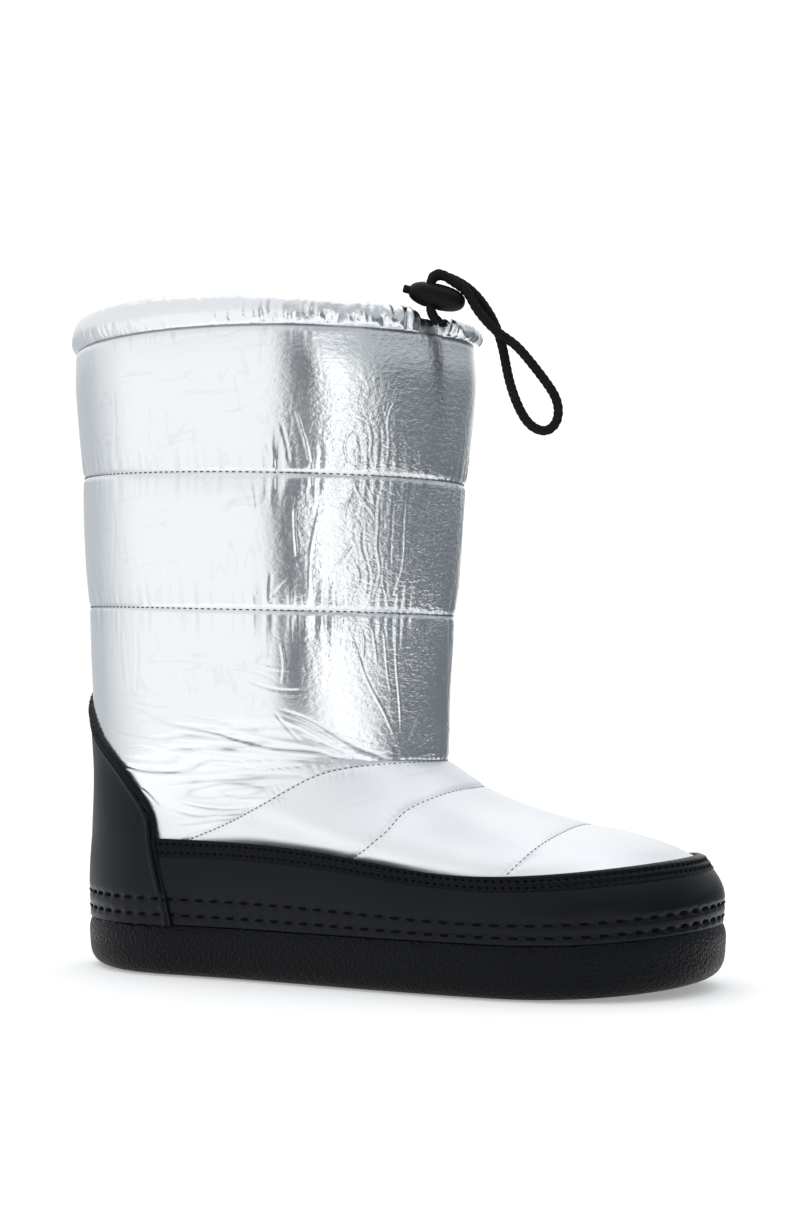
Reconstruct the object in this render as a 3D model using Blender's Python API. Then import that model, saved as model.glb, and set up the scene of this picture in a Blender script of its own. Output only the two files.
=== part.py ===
"""Padded snow boot for the right foot: a quilted shaft and vamp on a rand and a moulded sole.

Sizes are in millimetres and become metres as each mesh is made. X runs from heel to toe, Y to the
wearer's left, which is the inner side of a right boot, and Z up. The origin is on the floor, under
the middle of the boot's length.
"""

import math
from collections import namedtuple

import bmesh
import bpy
import numpy as np
from mathutils import Matrix, Vector

MM = 0.001
GAP = 0.3  # left between pieces that meet

# Driving sizes of the sole and the upper
HEEL_X = -141
TOE_X = 145
TOE_TIP_Y = 7  # the tip lies to the inner side
SOLE_EDGE = 22  # height of the sole's side
TOE_SPRING = 5
SPRING_START_X = 70  # where the sole starts to lift
WALL = 5  # shell, padding and lining together
RAND_WALL = 1.6
COLUMNS = 64  # points round each section
CROWDING = 0.4  # how much closer they stand round the toe and the heel
RAND_ROWS = 4
VAMP_ROWS = 9
PUFF_ROWS = 5  # rows in each padded channel of the shaft
LINING_ROWS = 14  # rows of the upper's plain inner face

# Half widths of the sole's edge either side of the line through the middle of the heel
OutlineRow = namedtuple("OutlineRow", "x outer inner")
SOLE_OUTLINE = (
    OutlineRow(-130, 22, 22),
    OutlineRow(-109, 36.5, 36),
    OutlineRow(-72, 41.5, 39.5),
    OutlineRow(-32, 46, 39),
    OutlineRow(13, 52.5, 42.5),
    OutlineRow(48, 56, 48.5),
    OutlineRow(78, 56, 52.5),
    OutlineRow(103, 50.5, 52),
    OutlineRow(124, 38.5, 45),
    OutlineRow(138, 22, 33),
)

OUTLINE_POINTS = 1201  # on the fine line that the table's rows are joined by

# The sole's side from its top edge down to the tread: how far in from the outline, at what height
SideRow = namedtuple("SideRow", "inset height")
SOLE_SIDE = (
    SideRow(1.2, SOLE_EDGE),
    SideRow(0.2, SOLE_EDGE - 2.5),
    SideRow(0, 12),
    SideRow(0.8, 6),
    SideRow(3, 2.4),
    SideRow(6.5, 0.5),
    SideRow(10, 0),
)

# The upper's foot under the rand: insets from the sole's outline at three levels
LevelRow = namedtuple("LevelRow", "level heel side toe")
FOOT_INSETS = (
    LevelRow(0, 2.8, 3.2, 2.8),
    LevelRow(0.45, 2.3, 2.4, 2.6),
    LevelRow(1, 3.4, 5.5, 10.2),
)
FOOT_ENDS = 0.28  # share of the length where the side's inset turns into the heel's or the toe's

# Height of the rand's top edge along the foot
EdgeRow = namedtuple("EdgeRow", "x height")
RAND_EDGE = (
    EdgeRow(HEEL_X, 58),
    EdgeRow(-92, 58),
    EdgeRow(-44, 57.5),
    EdgeRow(3, 53.5),
    EdgeRow(40, 49),
    EdgeRow(77, 48),
    EdgeRow(108, 50),
    EdgeRow(TOE_X, 54),
)

# Sections of the shaft, from the ankle to the seam under the drawcord collar
RingRow = namedtuple("RingRow", "back_z front_z back_x front_x half_width")
ANKLE = RingRow(104, 92, -136.5, 27, 46.5)
SHIN = RingRow(130, 124, -137.5, 27, 51)
LOW_SEAM = RingRow(159, 154, -139, 29.5, 55)
HIGH_SEAM = RingRow(215.5, 210, -140.5, 33.5, 62.5)
COLLAR_SEAM = RingRow(272, 272, -144.1, 39.5, 69)
SHAFT_RINGS = (ANKLE, SHIN, LOW_SEAM, HIGH_SEAM, COLLAR_SEAM)
VAMP_LENGTH = TOE_X - ANKLE.front_x

# The instep: how steeply the vamp leaves the rand and meets the ankle, in rise added over the span
TOE_LIFT = 12
THROAT_LIFT = 48
THROAT_SPAN = 0.09  # share of the way round, either side of the front, that keeps a creased throat
ANKLE_SPAN = 0.22  # share beyond which the side runs smoothly up into the shaft

# Quilting
SHAFT_PUFF = 1.1
VAMP_PUFF = 1.1
PUFF_POWER = 3
EDGE_FADE = 0.12  # share of the vamp next to the rand where the padding is pressed flat
ANKLE_SEAM = (
    EdgeRow(-120, 40),
    EdgeRow(-75, 59),
    EdgeRow(-37, 75),
    EdgeRow(-12, 88),
    EdgeRow(1, 91),
    EdgeRow(18, 92.5),
    EdgeRow(40, 92),
)
# Each seam of the vamp bows from the instep down to the rand: how far round from the toe, as a share
# of the rand's whole length, and how far up from the rand to the ankle
SeamRow = namedtuple("SeamRow", "round rise")
REAR_VAMP_SEAM = (
    SeamRow(0, 0.86),
    SeamRow(0.02, 0.858),
    SeamRow(0.06, 0.84),
    SeamRow(0.1, 0.785),
    SeamRow(0.135, 0.68),
    SeamRow(0.17, 0.487),
    SeamRow(0.205, 0.305),
    SeamRow(0.25, 0.06),
    SeamRow(0.3, -0.21),
)
FRONT_VAMP_SEAM = (
    SeamRow(0, 0.447),
    SeamRow(0.015, 0.443),
    SeamRow(0.05, 0.4),
    SeamRow(0.095, 0.283),
    SeamRow(0.135, 0.12),
    SeamRow(0.16, 0),
    SeamRow(0.2, -0.22),
)

# Heel counter: where its front edge lies at each height
CounterRow = namedtuple("CounterRow", "height x")
COUNTER_EDGE = (
    CounterRow(SOLE_EDGE, -81),
    CounterRow(41, -85.5),
    CounterRow(58, -90.3),
    CounterRow(68, -92.5),
    CounterRow(82, -102.4),
    CounterRow(93.6, -113),
    CounterRow(103, -124),
    CounterRow(112, -131.5),
    CounterRow(118, -135.4),
    CounterRow(122, -136.8),
)
COUNTER_GAP = 0.5
COUNTER_COLUMNS = 18
COUNTER_TIP_ROWS = 5  # between the last two rows of the upper that it covers
JOINT_GAP = 0.0006  # share of the way round left between the counter and the rand
COUNTER_TOP_LEVEL = 2.12

INSOLE_THICKNESS = 4.5
INSOLE_INSET = 1  # from the upper's inner face

# Drawcord collar: outline of its rolled tunnel, out from the shaft's face and up from the seam
TunnelRow = namedtuple("TunnelRow", "out up")
TUNNEL_SECTION = (
    TunnelRow(-0.6, 0.02),
    TunnelRow(0.9, 0.25),
    TunnelRow(0.8, 0.6),
    TunnelRow(-0.8, 0.88),
    TunnelRow(-3.6, 1),
    TunnelRow(-6.4, 0.85),
    TunnelRow(-7.2, 0.45),
    TunnelRow(-6.2, 0.02),
)
TUNNEL_BACK_HEIGHT = 14.2
TUNNEL_FRONT_HEIGHT = 8
TUNNEL_DROP = 5  # how late the collar drops towards the front
SLIT_WIDTH = 15.5
SLIT_DEPTH = 5.8
SLIT_FLOOR = 0.7  # above the collar seam
SLIT_TURN = math.radians(21)  # from the front of the collar to its outer side

# Cord lock, an oval bead with a sprung button, and the cord that runs through it
LOCK_CENTRE = Vector((33.1, -25.2, 285.2))
LOCK_TURN = math.radians(22)  # the cord's loop hangs in a plane turned this far from the boot's length
LOCK_TILT = math.radians(14)
LOCK_LENGTH = 24
LOCK_HEIGHT = 10.5
LOCK_OVAL = 1.4  # width over height
LOCK_FULLNESS = 2.4
LOCK_SIDES = 20
LOCK_STEPS = 10
WELD = 0.0001  # points closer than this become one
BUTTON_RADIUS = 1.7
BUTTON_OUT = 2.3
BUTTON_IN = 2.4
BUTTON_TRAVEL = 2
BUTTON_ROUND = 0.6
BORE_SPARE = 1  # left behind the button when it is pressed in
BORE_LIP = 0.4  # how far the bead's end stands out round the bore
CORD_DIAMETER = 4
CORD_HOLE_ALONG = -2.4
CORD_HOLE_SLACK = 0.5
CORD_HOLE_STEPS = 8  # round each end of the hole
CORD_POINTS = 62

# The cord's route in the lock's upright frame: along the loop's plane, up, and out to the outer side
CordPoint = namedtuple("CordPoint", "along up out")
CORD_ROUTE = (
    CordPoint(0.2, -10.6, 1.0),
    CordPoint(-0.9, -9.2, 1.6),
    CordPoint(-2.0, -7.2, 2.2),
    CordPoint(-2.4, -4.6, 2.3),
    CordPoint(-2.4, 0.0, 2.3),
    CordPoint(-2.4, 4.8, 2.3),
    CordPoint(-1.9, 7.2, 2.4),
    CordPoint(-0.2, 8.8, 2.4),
    CordPoint(2.2, 8.7, 2.4),
    CordPoint(4.7, 7.2, 2.4),
    CordPoint(8.1, 4.9, 2.4),
    CordPoint(11.9, 2.0, 2.4),
    CordPoint(15.8, -4.3, 2.3),
    CordPoint(20.0, -9.9, 2.3),
    CordPoint(25.9, -15.6, 2.4),
    CordPoint(31.8, -19.8, 2.0),
    CordPoint(36.4, -24.4, 1.2),
    CordPoint(41.2, -30.2, 0.6),
    CordPoint(45.9, -36.4, 0.2),
    CordPoint(49.3, -42.4, 0.0),
    CordPoint(50.2, -47.8, 0.0),
    CordPoint(48.9, -52.4, 0.0),
    CordPoint(45.4, -55.2, 0.0),
    CordPoint(41.0, -54.5, 0.0),
    CordPoint(37.0, -51.0, -0.1),
    CordPoint(33.8, -45.4, -0.3),
    CordPoint(31.4, -39.2, -0.7),
    CordPoint(29.7, -33.0, -1.2),
    CordPoint(28.5, -26.9, -1.8),
    CordPoint(27.4, -21.2, -2.3),
    CordPoint(25.7, -15.2, -2.4),
    CordPoint(23.1, -9.0, -2.3),
    CordPoint(19.7, -3.4, -2.3),
    CordPoint(15.6, 1.6, -2.3),
    CordPoint(11.6, 4.9, -2.3),
    CordPoint(7.8, 7.1, -2.3),
    CordPoint(4.0, 8.6, -2.3),
    CordPoint(0.6, 9.0, -2.4),
    CordPoint(-1.6, 7.6, -2.4),
    CordPoint(-2.4, 4.8, -2.3),
    CordPoint(-2.4, 0.0, -2.3),
    CordPoint(-2.4, -4.6, -2.3),
    CordPoint(-1.7, -7.0, -2.6),
    CordPoint(-0.3, -8.8, -3.0),
    CordPoint(1.0, -10.2, -3.4),
)

# Tread: bars cut across the forefoot and the heel, clear of the rim
TREAD_DEPTH = 2.5
TREAD_GROOVE = 5
TREAD_RIM = 15  # left whole inside the outline
FOREFOOT_GROOVES = (20, 36, 52, 68, 84, 100)
HEEL_GROOVES = (-112, -96, -80)
ARCH_GROOVES = (-40, -24)

SHARP_ANGLE = math.radians(40)  # edges that turn more than this are shaded sharp
Finish = namedtuple("Finish", "colour roughness metallic")
SILVER_FOIL = Finish((0.80, 0.82, 0.83), 0.28, 1.0)
BLACK_LEATHER = Finish((0.018, 0.019, 0.022), 0.42, 0.0)
BLACK_RUBBER = Finish((0.013, 0.013, 0.014), 0.62, 0.0)
GREY_FLEECE = Finish((0.16, 0.16, 0.17), 0.95, 0.0)
BLACK_BRAID = Finish((0.012, 0.012, 0.012), 0.75, 0.0)
BLACK_PLASTIC = Finish((0.016, 0.016, 0.017), 0.36, 0.0)


def spline(knots, values, at):
    """The natural cubic spline through values at the knots, read at other places."""
    knots = np.asarray(knots, float)
    values = np.asarray(values, float).reshape(len(knots), -1)
    gaps = np.diff(knots)
    slopes = np.diff(values, axis=0) / gaps[:, None]
    system = np.eye(len(knots))
    change = np.zeros_like(values)
    for i in range(1, len(knots) - 1):
        system[i, i - 1 : i + 2] = gaps[i - 1], 2 * (gaps[i - 1] + gaps[i]), gaps[i]
        change[i] = 6 * (slopes[i] - slopes[i - 1])
    bend = np.linalg.solve(system, change)
    at = np.clip(np.asarray(at, float), knots[0], knots[-1])
    i = np.clip(np.searchsorted(knots, at) - 1, 0, len(gaps) - 1)
    t = (at - knots[i])[..., None]
    gap = gaps[i][..., None]
    first = slopes[i] - gap * (2 * bend[i] + bend[i + 1]) / 6
    found = values[i] + t * first + t**2 * bend[i] / 2 + t**3 * (bend[i + 1] - bend[i]) / (6 * gap)
    return found[..., 0] if values.shape[1] == 1 else found


def smooth_step(low, high, value):
    t = np.clip((value - low) / (high - low), 0, 1)
    return t * t * (3 - 2 * t)


def column(table, name):
    return [getattr(row, name) for row in table]


def edge_height(table, x):
    return spline(column(table, "x"), column(table, "height"), x)


def toe_lift(x):
    """How far the sole's underside and top have risen at x."""
    share = np.clip((x - SPRING_START_X) / (TOE_X - SPRING_START_X), 0, 1)
    return TOE_SPRING * share**2


def trace_outline():
    """The sole's edge from the heel round the outer side: shares of the way round and points."""
    outer = [(row.x, -row.outer) for row in SOLE_OUTLINE]
    inner = [(row.x, row.inner) for row in reversed(SOLE_OUTLINE)]
    ring = [(HEEL_X, 0), *outer, (TOE_X, TOE_TIP_Y), *inner]
    toe = len(outer) + 1
    wrap = 4
    points = np.array(ring[-wrap:] + ring + ring[: wrap + 1], float)
    along = np.concatenate([[0], np.cumsum(np.linalg.norm(np.diff(points, axis=0), axis=1))])
    fine = np.linspace(along[wrap], along[wrap + len(ring)], OUTLINE_POINTS)
    line = spline(along, points, fine)
    length = np.concatenate([[0], np.cumsum(np.linalg.norm(np.diff(line, axis=0), axis=1))])
    toe_length = np.interp(along[wrap + toe], fine, length)
    share = np.interp(length, [0, toe_length, length[-1]], [0, 0.5, 1])
    return share, line


OUTLINE_SHARE, OUTLINE_LINE = trace_outline()


def outline_point(u):
    """Points of the sole's edge at shares u of the way round."""
    u = np.mod(u, 1)
    return np.stack([np.interp(u, OUTLINE_SHARE, OUTLINE_LINE[:, k]) for k in range(2)], axis=-1)


def outline(u, inset):
    """Points of the sole's edge, moved in by inset."""
    step = 0.004
    run = outline_point(u + step) - outline_point(u - step)
    run /= np.linalg.norm(run, axis=-1, keepdims=True)
    outward = np.stack([run[..., 1], -run[..., 0]], axis=-1)
    return outline_point(u) - outward * np.asarray(inset)[..., None]


def front_share(u):
    """0 at the back of the boot and 1 at the front."""
    return (1 - np.cos(2 * np.pi * u)) / 2


def foot_loop(u, level):
    """The upper under the rand: level 0 is the sole's top and 1 the rand's top edge."""
    levels = column(FOOT_INSETS, "level")
    ends = ("heel", "side", "toe")
    heel, side, toe = (spline(levels, column(FOOT_INSETS, end), level) for end in ends)
    front = front_share(u)
    toe_part = smooth_step(1 - FOOT_ENDS, 1, front)
    heel_part = smooth_step(FOOT_ENDS, 0, front)
    inset = side + toe_part * (toe - side) + heel_part * (heel - side)
    plan = outline(u, inset)
    low = SOLE_EDGE + GAP + toe_lift(plan[..., 0])
    high = edge_height(RAND_EDGE, plan[..., 0])
    return np.concatenate([plan, (low + level * (high - low))[..., None]], axis=-1)


def ring_loop(u, ring):
    """A section of the shaft: an ellipse that may slope from back to front."""
    front = front_share(u)
    x = ring.back_x + front * (ring.front_x - ring.back_x)
    y = -ring.half_width * np.sin(2 * np.pi * u)
    z = ring.back_z + front * (ring.front_z - ring.back_z)
    return np.stack([x, y, z], axis=-1)


def vamp_point(u, t):
    """Between the rand's edge at t 0 and the ankle at t 1: creased at the throat, smooth at the sides."""
    low = foot_loop(u, np.ones_like(u))
    high = ring_loop(u, ANKLE)
    chord = high - low
    from_front = np.abs(np.mod(u, 1) - 0.5)
    side = smooth_step(THROAT_SPAN, ANKLE_SPAN, from_front)[..., None]
    up = np.array([0, 0, 1.0])
    climb = ring_loop(u, SHIN) - high
    span = np.linalg.norm(chord, axis=-1, keepdims=True)
    rise = span * climb / np.linalg.norm(climb, axis=-1, keepdims=True)
    leave = chord + (1 - side) * TOE_LIFT * up
    arrive = (1 - side) * (chord + THROAT_LIFT * up) + side * rise
    t = np.asarray(t)[..., None]
    return (
        (1 + 2 * t) * (1 - t) ** 2 * low
        + t * (1 - t) ** 2 * leave
        + t**2 * (3 - 2 * t) * high
        + t**2 * (t - 1) * arrive
    )


def shaft_point(u, t):
    """Up the shaft from the ankle at t 0 to the collar seam at t 1."""
    rings = np.stack([ring_loop(u, ring) for ring in SHAFT_RINGS])
    heights = np.array([(ring.back_z + ring.front_z) / 2 for ring in SHAFT_RINGS])
    knots = (heights - heights[0]) / (heights[-1] - heights[0])
    flat = spline(knots, rings.reshape(len(knots), -1), np.asarray(t).ravel()[0])
    return flat.reshape(rings.shape[1:])


def base_row(u, level):
    """One row of the upper before it is padded: 0 to 1 the foot, 1 to 2 the vamp, 2 to 3 the shaft."""
    level_row = np.full_like(u, level)
    if level <= 1:
        return foot_loop(u, level_row)
    if level <= 2:
        return vamp_point(u, level_row - 1)
    return shaft_point(u, level_row - 2)


def base_grid(u, levels):
    return np.stack([base_row(u, level) for level in levels])


def behind_seam(seam, u, t):
    """Distance of a place on the vamp behind one of its seams, and below 0 in front of it."""
    from_toe = np.abs(np.mod(u, 1) - 0.5)
    rise = spline(column(seam, "round"), column(seam, "rise"), from_toe)
    return (t - rise) * VAMP_LENGTH


def puff(before, after):
    """A padded channel's rise, from the distances to the seams on either side of it."""
    before = np.maximum(before, 0)
    after = np.maximum(after, 0)
    least = 1e-6
    share = before / np.maximum(before + after, least)
    return 1 - np.abs(2 * share - 1) ** PUFF_POWER


def padding(u, levels, grid):
    """How far the padding lifts each point of the upper off its base."""
    x, z = grid[..., 0], grid[..., 2]
    front = front_share(u)[None, :]
    seams = [edge_height(ANKLE_SEAM, x)]
    for ring in (LOW_SEAM, HIGH_SEAM, COLLAR_SEAM):
        seams.append(ring.back_z + front * (ring.front_z - ring.back_z))
    rise = np.zeros_like(x)
    for low, high in zip(seams, seams[1:]):
        rise = np.where((z >= low) & (z <= high), SHAFT_PUFF * puff(z - low, high - z), rise)
    t = levels[:, None] - 1
    rear = behind_seam(REAR_VAMP_SEAM, u[None, :], t)
    fore = behind_seam(FRONT_VAMP_SEAM, u[None, :], t)
    toe = t * VAMP_LENGTH
    instep = np.where(rear > 0, puff(seams[0] - z, rear), puff(-rear, fore))
    instep = np.where(fore > 0, instep, puff(-fore, toe))
    rise = np.where(z < seams[0], VAMP_PUFF * instep, rise)
    fade = smooth_step(1, 1 + EDGE_FADE, levels)[:, None]
    return rise * fade


def normals(u, levels):
    """Outward directions of the base surface, each read inside the level's own part of the upper."""
    step = 0.01
    levels = np.asarray(levels, float)
    part_top = np.maximum(np.ceil(levels), 1)
    across = base_grid(u + step / 4, levels) - base_grid(u - step / 4, levels)
    upper = np.minimum(levels + step, part_top)
    lower = np.maximum(levels - step, part_top - 1)
    up = base_grid(u, upper) - base_grid(u, lower)
    out = np.cross(across, up)
    return out / np.linalg.norm(out, axis=-1, keepdims=True)


def upper_face(u, levels, lift=0.0, padded=1.0):
    """A face of the upper: the padded outside, or one that lies lift outside its base."""
    levels = np.asarray(levels, float)
    grid = base_grid(u, levels)
    rise = padded * padding(u, levels, grid) + lift
    grid = grid + normals(u, levels) * rise[..., None]
    seat = SOLE_EDGE + GAP + toe_lift(grid[..., 0])
    grid[..., 2] = np.where(levels[:, None] == 0, seat, np.maximum(grid[..., 2], seat))
    grid[..., 2] = np.where(levels[:, None] == 3, COLLAR_SEAM.front_z, grid[..., 2])
    return grid


def upper_levels():
    """Rows of the upper from the sole to the collar, closer together beside each seam of the shaft."""
    heights = [(ring.back_z + ring.front_z) / 2 for ring in (ANKLE, LOW_SEAM, HIGH_SEAM, COLLAR_SEAM)]
    foot = list(np.linspace(0, 1, RAND_ROWS, endpoint=False))
    vamp = list(np.linspace(1, 2, VAMP_ROWS, endpoint=False))
    shaft = []
    for low, high in zip(heights, heights[1:]):
        share = (1 - np.cos(np.linspace(0, np.pi, PUFF_ROWS, endpoint=False))) / 2
        shaft += list(low + share * (high - low))
    shaft = [2 + (z - heights[0]) / (heights[-1] - heights[0]) for z in shaft]
    return np.array(foot + vamp + shaft + [3.0])


def material(name, finish):
    made = bpy.data.materials.get(name) or bpy.data.materials.new(name)
    made.use_nodes = True
    shader = made.node_tree.nodes["Principled BSDF"]
    shader.inputs["Base Color"].default_value = (*finish.colour, 1)
    shader.inputs["Roughness"].default_value = finish.roughness
    shader.inputs["Metallic"].default_value = finish.metallic
    made.diffuse_color = (*finish.colour, 1)
    return made


def add_object(name, bm, finish_name, finish):
    """An object of the mesh being edited, in metres, with its faces turned out and rounded in shading."""
    bmesh.ops.scale(bm, vec=(MM, MM, MM), verts=bm.verts)
    bmesh.ops.recalc_face_normals(bm, faces=bm.faces)
    mesh = bpy.data.meshes.new(name)
    bm.to_mesh(mesh)
    bm.free()
    mesh.shade_smooth()
    mesh.set_sharp_from_angle(angle=SHARP_ANGLE)
    mesh.materials.append(material(finish_name, finish))
    made = bpy.data.objects.new(name, mesh)
    bpy.context.scene.collection.objects.link(made)
    return made


def grid_mesh(grid, closed):
    """Quads between the rows of a grid of points, joined round where the rows are closed."""
    bm = bmesh.new()
    rows = [[bm.verts.new(point) for point in row] for row in grid]
    columns = len(rows[0])
    for lower, upper in zip(rows, rows[1:]):
        for i in range(columns if closed else columns - 1):
            j = (i + 1) % columns
            bm.faces.new((lower[i], lower[j], upper[j], upper[i]))
    return bm, rows


def close_across(bm, row):
    """Faces across a closed row that starts at the heel, each strip joining its two sides."""
    half = len(row) // 2
    for i in range(half):
        corners = [row[i], row[i + 1], row[-i - 1], row[-i]] if i else [row[0], row[1], row[-1]]
        if i == half - 1:
            corners = [row[i], row[i + 1], row[-i]]
        bm.faces.new(corners)


def shell_mesh(outer, inner, closed):
    """A wall between two faces that have the same columns, closed along its edges."""
    bm, out_rows = grid_mesh(outer, closed)
    in_rows = [[bm.verts.new(point) for point in row] for row in inner]
    columns = len(outer[0])
    spans = columns if closed else columns - 1
    for lower, upper in zip(in_rows, in_rows[1:]):
        for i in range(spans):
            j = (i + 1) % columns
            bm.faces.new((lower[i], upper[i], upper[j], lower[j]))
    bmesh.ops.triangulate(bm, faces=bm.faces, quad_method="FIXED")
    for out_row, in_row, turn in ((out_rows[0], in_rows[0], 1), (out_rows[-1], in_rows[-1], -1)):
        for i in range(spans):
            j = (i + 1) % columns
            bm.faces.new((out_row[i], in_row[i], in_row[j], out_row[j])[::turn])
    if not closed:
        for k in (0, -1):
            for i in range(len(outer) - 1):
                bm.faces.new((out_rows[i][k], out_rows[i + 1][k], in_rows[i + 1][k], in_rows[i][k]))
    return bm


def cut(made, cutter):
    cutter.hide_render = True
    cutter.display_type = "WIRE"
    boolean = made.modifiers.new("cut " + cutter.name, "BOOLEAN")
    boolean.operation = "DIFFERENCE"
    boolean.object = cutter


def around():
    """Shares of the way round for a closed row."""
    even = np.arange(COLUMNS) / COLUMNS
    return even - CROWDING * np.sin(4 * np.pi * even) / (4 * np.pi)


def make_upper():
    """The padded shell of vamp and shaft, plain on the inside."""
    levels = upper_levels()
    keep = np.linspace(0, len(levels) - 1, LINING_ROWS).round().astype(int)
    outer = upper_face(around(), levels)
    inner = upper_face(around(), levels[keep], lift=-WALL, padded=0)
    return add_object("upper", shell_mesh(outer, inner, closed=True), "silver foil", SILVER_FOIL)


def counter_reach(level):
    """Share of the way round from the back to the counter's front edge, at one level of the upper."""
    u = np.linspace(0.002, 0.3, 300)
    row = base_row(u, level)
    edge = spline(column(COUNTER_EDGE, "height"), column(COUNTER_EDGE, "x"), row[:, 2])
    return float(u[np.argmax(row[:, 0] >= edge)])


def overlay_mesh(rows, gap):
    """A leather piece laid on the upper: each row is a level and the places round it of its points."""
    outer = np.array([upper_face(u, [level], gap + RAND_WALL)[0] for level, u in rows])
    inner = np.array([upper_face(u, [level], gap)[0] for level, u in rows])
    return shell_mesh(outer, inner, closed=False)


def make_rand():
    """The leather band from the counter's edge round the toe to the counter's other edge."""
    levels = np.linspace(0, 1, RAND_ROWS + 1)
    starts = [counter_reach(level) + JOINT_GAP for level in levels]
    spots = around()
    margin = 1 / (4 * COLUMNS)
    inside = spots[(spots > max(starts) + margin) & (spots < 1 - max(starts) - margin)]
    rows = [(level, np.concatenate([[s], inside, [1 - s]])) for level, s in zip(levels, starts)]
    return add_object("rand", overlay_mesh(rows, GAP), "black leather", BLACK_LEATHER)


def make_heel_counter():
    """The stiff heel piece, rising to a point at the back of the ankle."""
    levels = upper_levels()
    levels = levels[levels < COUNTER_TOP_LEVEL]
    tip = np.linspace(levels[-2], levels[-1], COUNTER_TIP_ROWS + 1)
    levels = np.concatenate([levels[:-2], tip])
    across = np.linspace(-1, 1, COUNTER_COLUMNS + 1)
    rows = [(level, counter_reach(level) * across) for level in levels]
    return add_object("heel_counter", overlay_mesh(rows, COUNTER_GAP), "black leather", BLACK_LEATHER)


def sole_row(inset, height):
    plan = outline(around(), np.full(COLUMNS, float(inset)))
    return np.concatenate([plan, (height + toe_lift(plan[:, 0]))[:, None]], axis=1)


def make_outsole():
    """One moulded sole: a rounded side, a flat tread with bars, and a lift at the toe."""
    bm, rows = grid_mesh([sole_row(*row) for row in SOLE_SIDE], closed=True)
    close_across(bm, rows[0])
    close_across(bm, rows[-1])
    sole = add_object("outsole", bm, "black rubber", BLACK_RUBBER)
    cut(sole, make_tread_cutter())
    return sole


def make_tread_cutter():
    """All the grooves as one cutter, each stopping short of the sole's rim."""
    below = 4
    stations = column(SOLE_OUTLINE, "x")
    bm = bmesh.new()
    for x in (*FOREFOOT_GROOVES, *HEEL_GROOVES, *ARCH_GROOVES):
        outer = spline(stations, column(SOLE_OUTLINE, "outer"), x) - TREAD_RIM
        inner = spline(stations, column(SOLE_OUTLINE, "inner"), x) - TREAD_RIM
        top = TREAD_DEPTH + toe_lift(x)
        centre = Vector((x, (inner - outer) / 2, (top - below) / 2))
        size = Vector((TREAD_GROOVE, outer + inner, top + below))
        bmesh.ops.create_cube(bm, size=1, matrix=Matrix.LocRotScale(centre, None, size))
    return add_object("tread_cutter", bm, "black rubber", BLACK_RUBBER)


def make_insole():
    """The footbed inside the upper, lying on the sole."""
    reach = FOOT_INSETS[0].side + WALL + INSOLE_INSET
    low = SOLE_EDGE + GAP
    bm, rows = grid_mesh([sole_row(reach, low + INSOLE_THICKNESS), sole_row(reach, low)], closed=True)
    close_across(bm, rows[0])
    close_across(bm, rows[-1])
    return add_object("insole", bm, "grey fleece", GREY_FLEECE)


def make_collar_tunnel():
    """The rolled edge that holds the drawcord, lower at the front, with a slit for the cord."""
    u = around()
    ring = ring_loop(u, COLLAR_SEAM)
    run = np.roll(ring, -1, axis=0) - np.roll(ring, 1, axis=0)
    outward = np.stack([run[:, 1], -run[:, 0]], axis=1)
    outward /= np.linalg.norm(outward, axis=1, keepdims=True)
    dropped = front_share(u) ** TUNNEL_DROP
    height = TUNNEL_BACK_HEIGHT + dropped * (TUNNEL_FRONT_HEIGHT - TUNNEL_BACK_HEIGHT)
    section = []
    for row in TUNNEL_SECTION:
        loop = ring.copy()
        loop[:, :2] += outward * row.out
        loop[:, 2] += GAP + row.up * height
        section.append(loop)
    bm, rows = grid_mesh(np.array(section), closed=True)
    for i in range(COLUMNS):
        j = (i + 1) % COLUMNS
        bm.faces.new((rows[-1][i], rows[-1][j], rows[0][j], rows[0][i]))
    tunnel = add_object("collar_tunnel", bm, "silver foil", SILVER_FOIL)
    cut(tunnel, make_slit_cutter())
    return tunnel


def make_slit_cutter():
    """A box set square to the collar under the cord lock, reaching in from outside and out at the top."""
    half_long = (COLLAR_SEAM.front_x - COLLAR_SEAM.back_x) / 2
    middle = (COLLAR_SEAM.front_x + COLLAR_SEAM.back_x) / 2
    half_wide = COLLAR_SEAM.half_width
    on_ring = Vector((middle + half_long * math.cos(SLIT_TURN), -half_wide * math.sin(SLIT_TURN), 0))
    outward = Vector((math.cos(SLIT_TURN) / half_long, -math.sin(SLIT_TURN) / half_wide, 0)).normalized()
    spare = 6
    depth = SLIT_DEPTH + spare
    height = TUNNEL_BACK_HEIGHT + spare
    centre = on_ring + outward * (depth / 2 - SLIT_DEPTH)
    centre.z = COLLAR_SEAM.front_z + SLIT_FLOOR + height / 2
    turn = Matrix.Rotation(math.atan2(outward.y, outward.x), 4, "Z")
    bm = bmesh.new()
    bmesh.ops.create_cube(bm, size=1)
    bmesh.ops.scale(bm, vec=(depth, SLIT_WIDTH, height), verts=bm.verts)
    bmesh.ops.transform(bm, matrix=Matrix.Translation(centre) @ turn, verts=bm.verts)
    return add_object("slit_cutter", bm, "silver foil", SILVER_FOIL)


def turned(profile):
    """A solid turned about X from points that start and end on the axis."""
    bm = bmesh.new()
    points = [bm.verts.new((x, 0, radius)) for x, radius in profile]
    edges = [bm.edges.new(pair) for pair in zip(points, points[1:])]
    bmesh.ops.spin(
        bm,
        geom=points + edges,
        cent=(0, 0, 0),
        axis=(1, 0, 0),
        angle=2 * math.pi,
        steps=LOCK_SIDES,
        use_merge=True,
    )
    bmesh.ops.remove_doubles(bm, verts=bm.verts, dist=WELD)
    return bm


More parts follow.
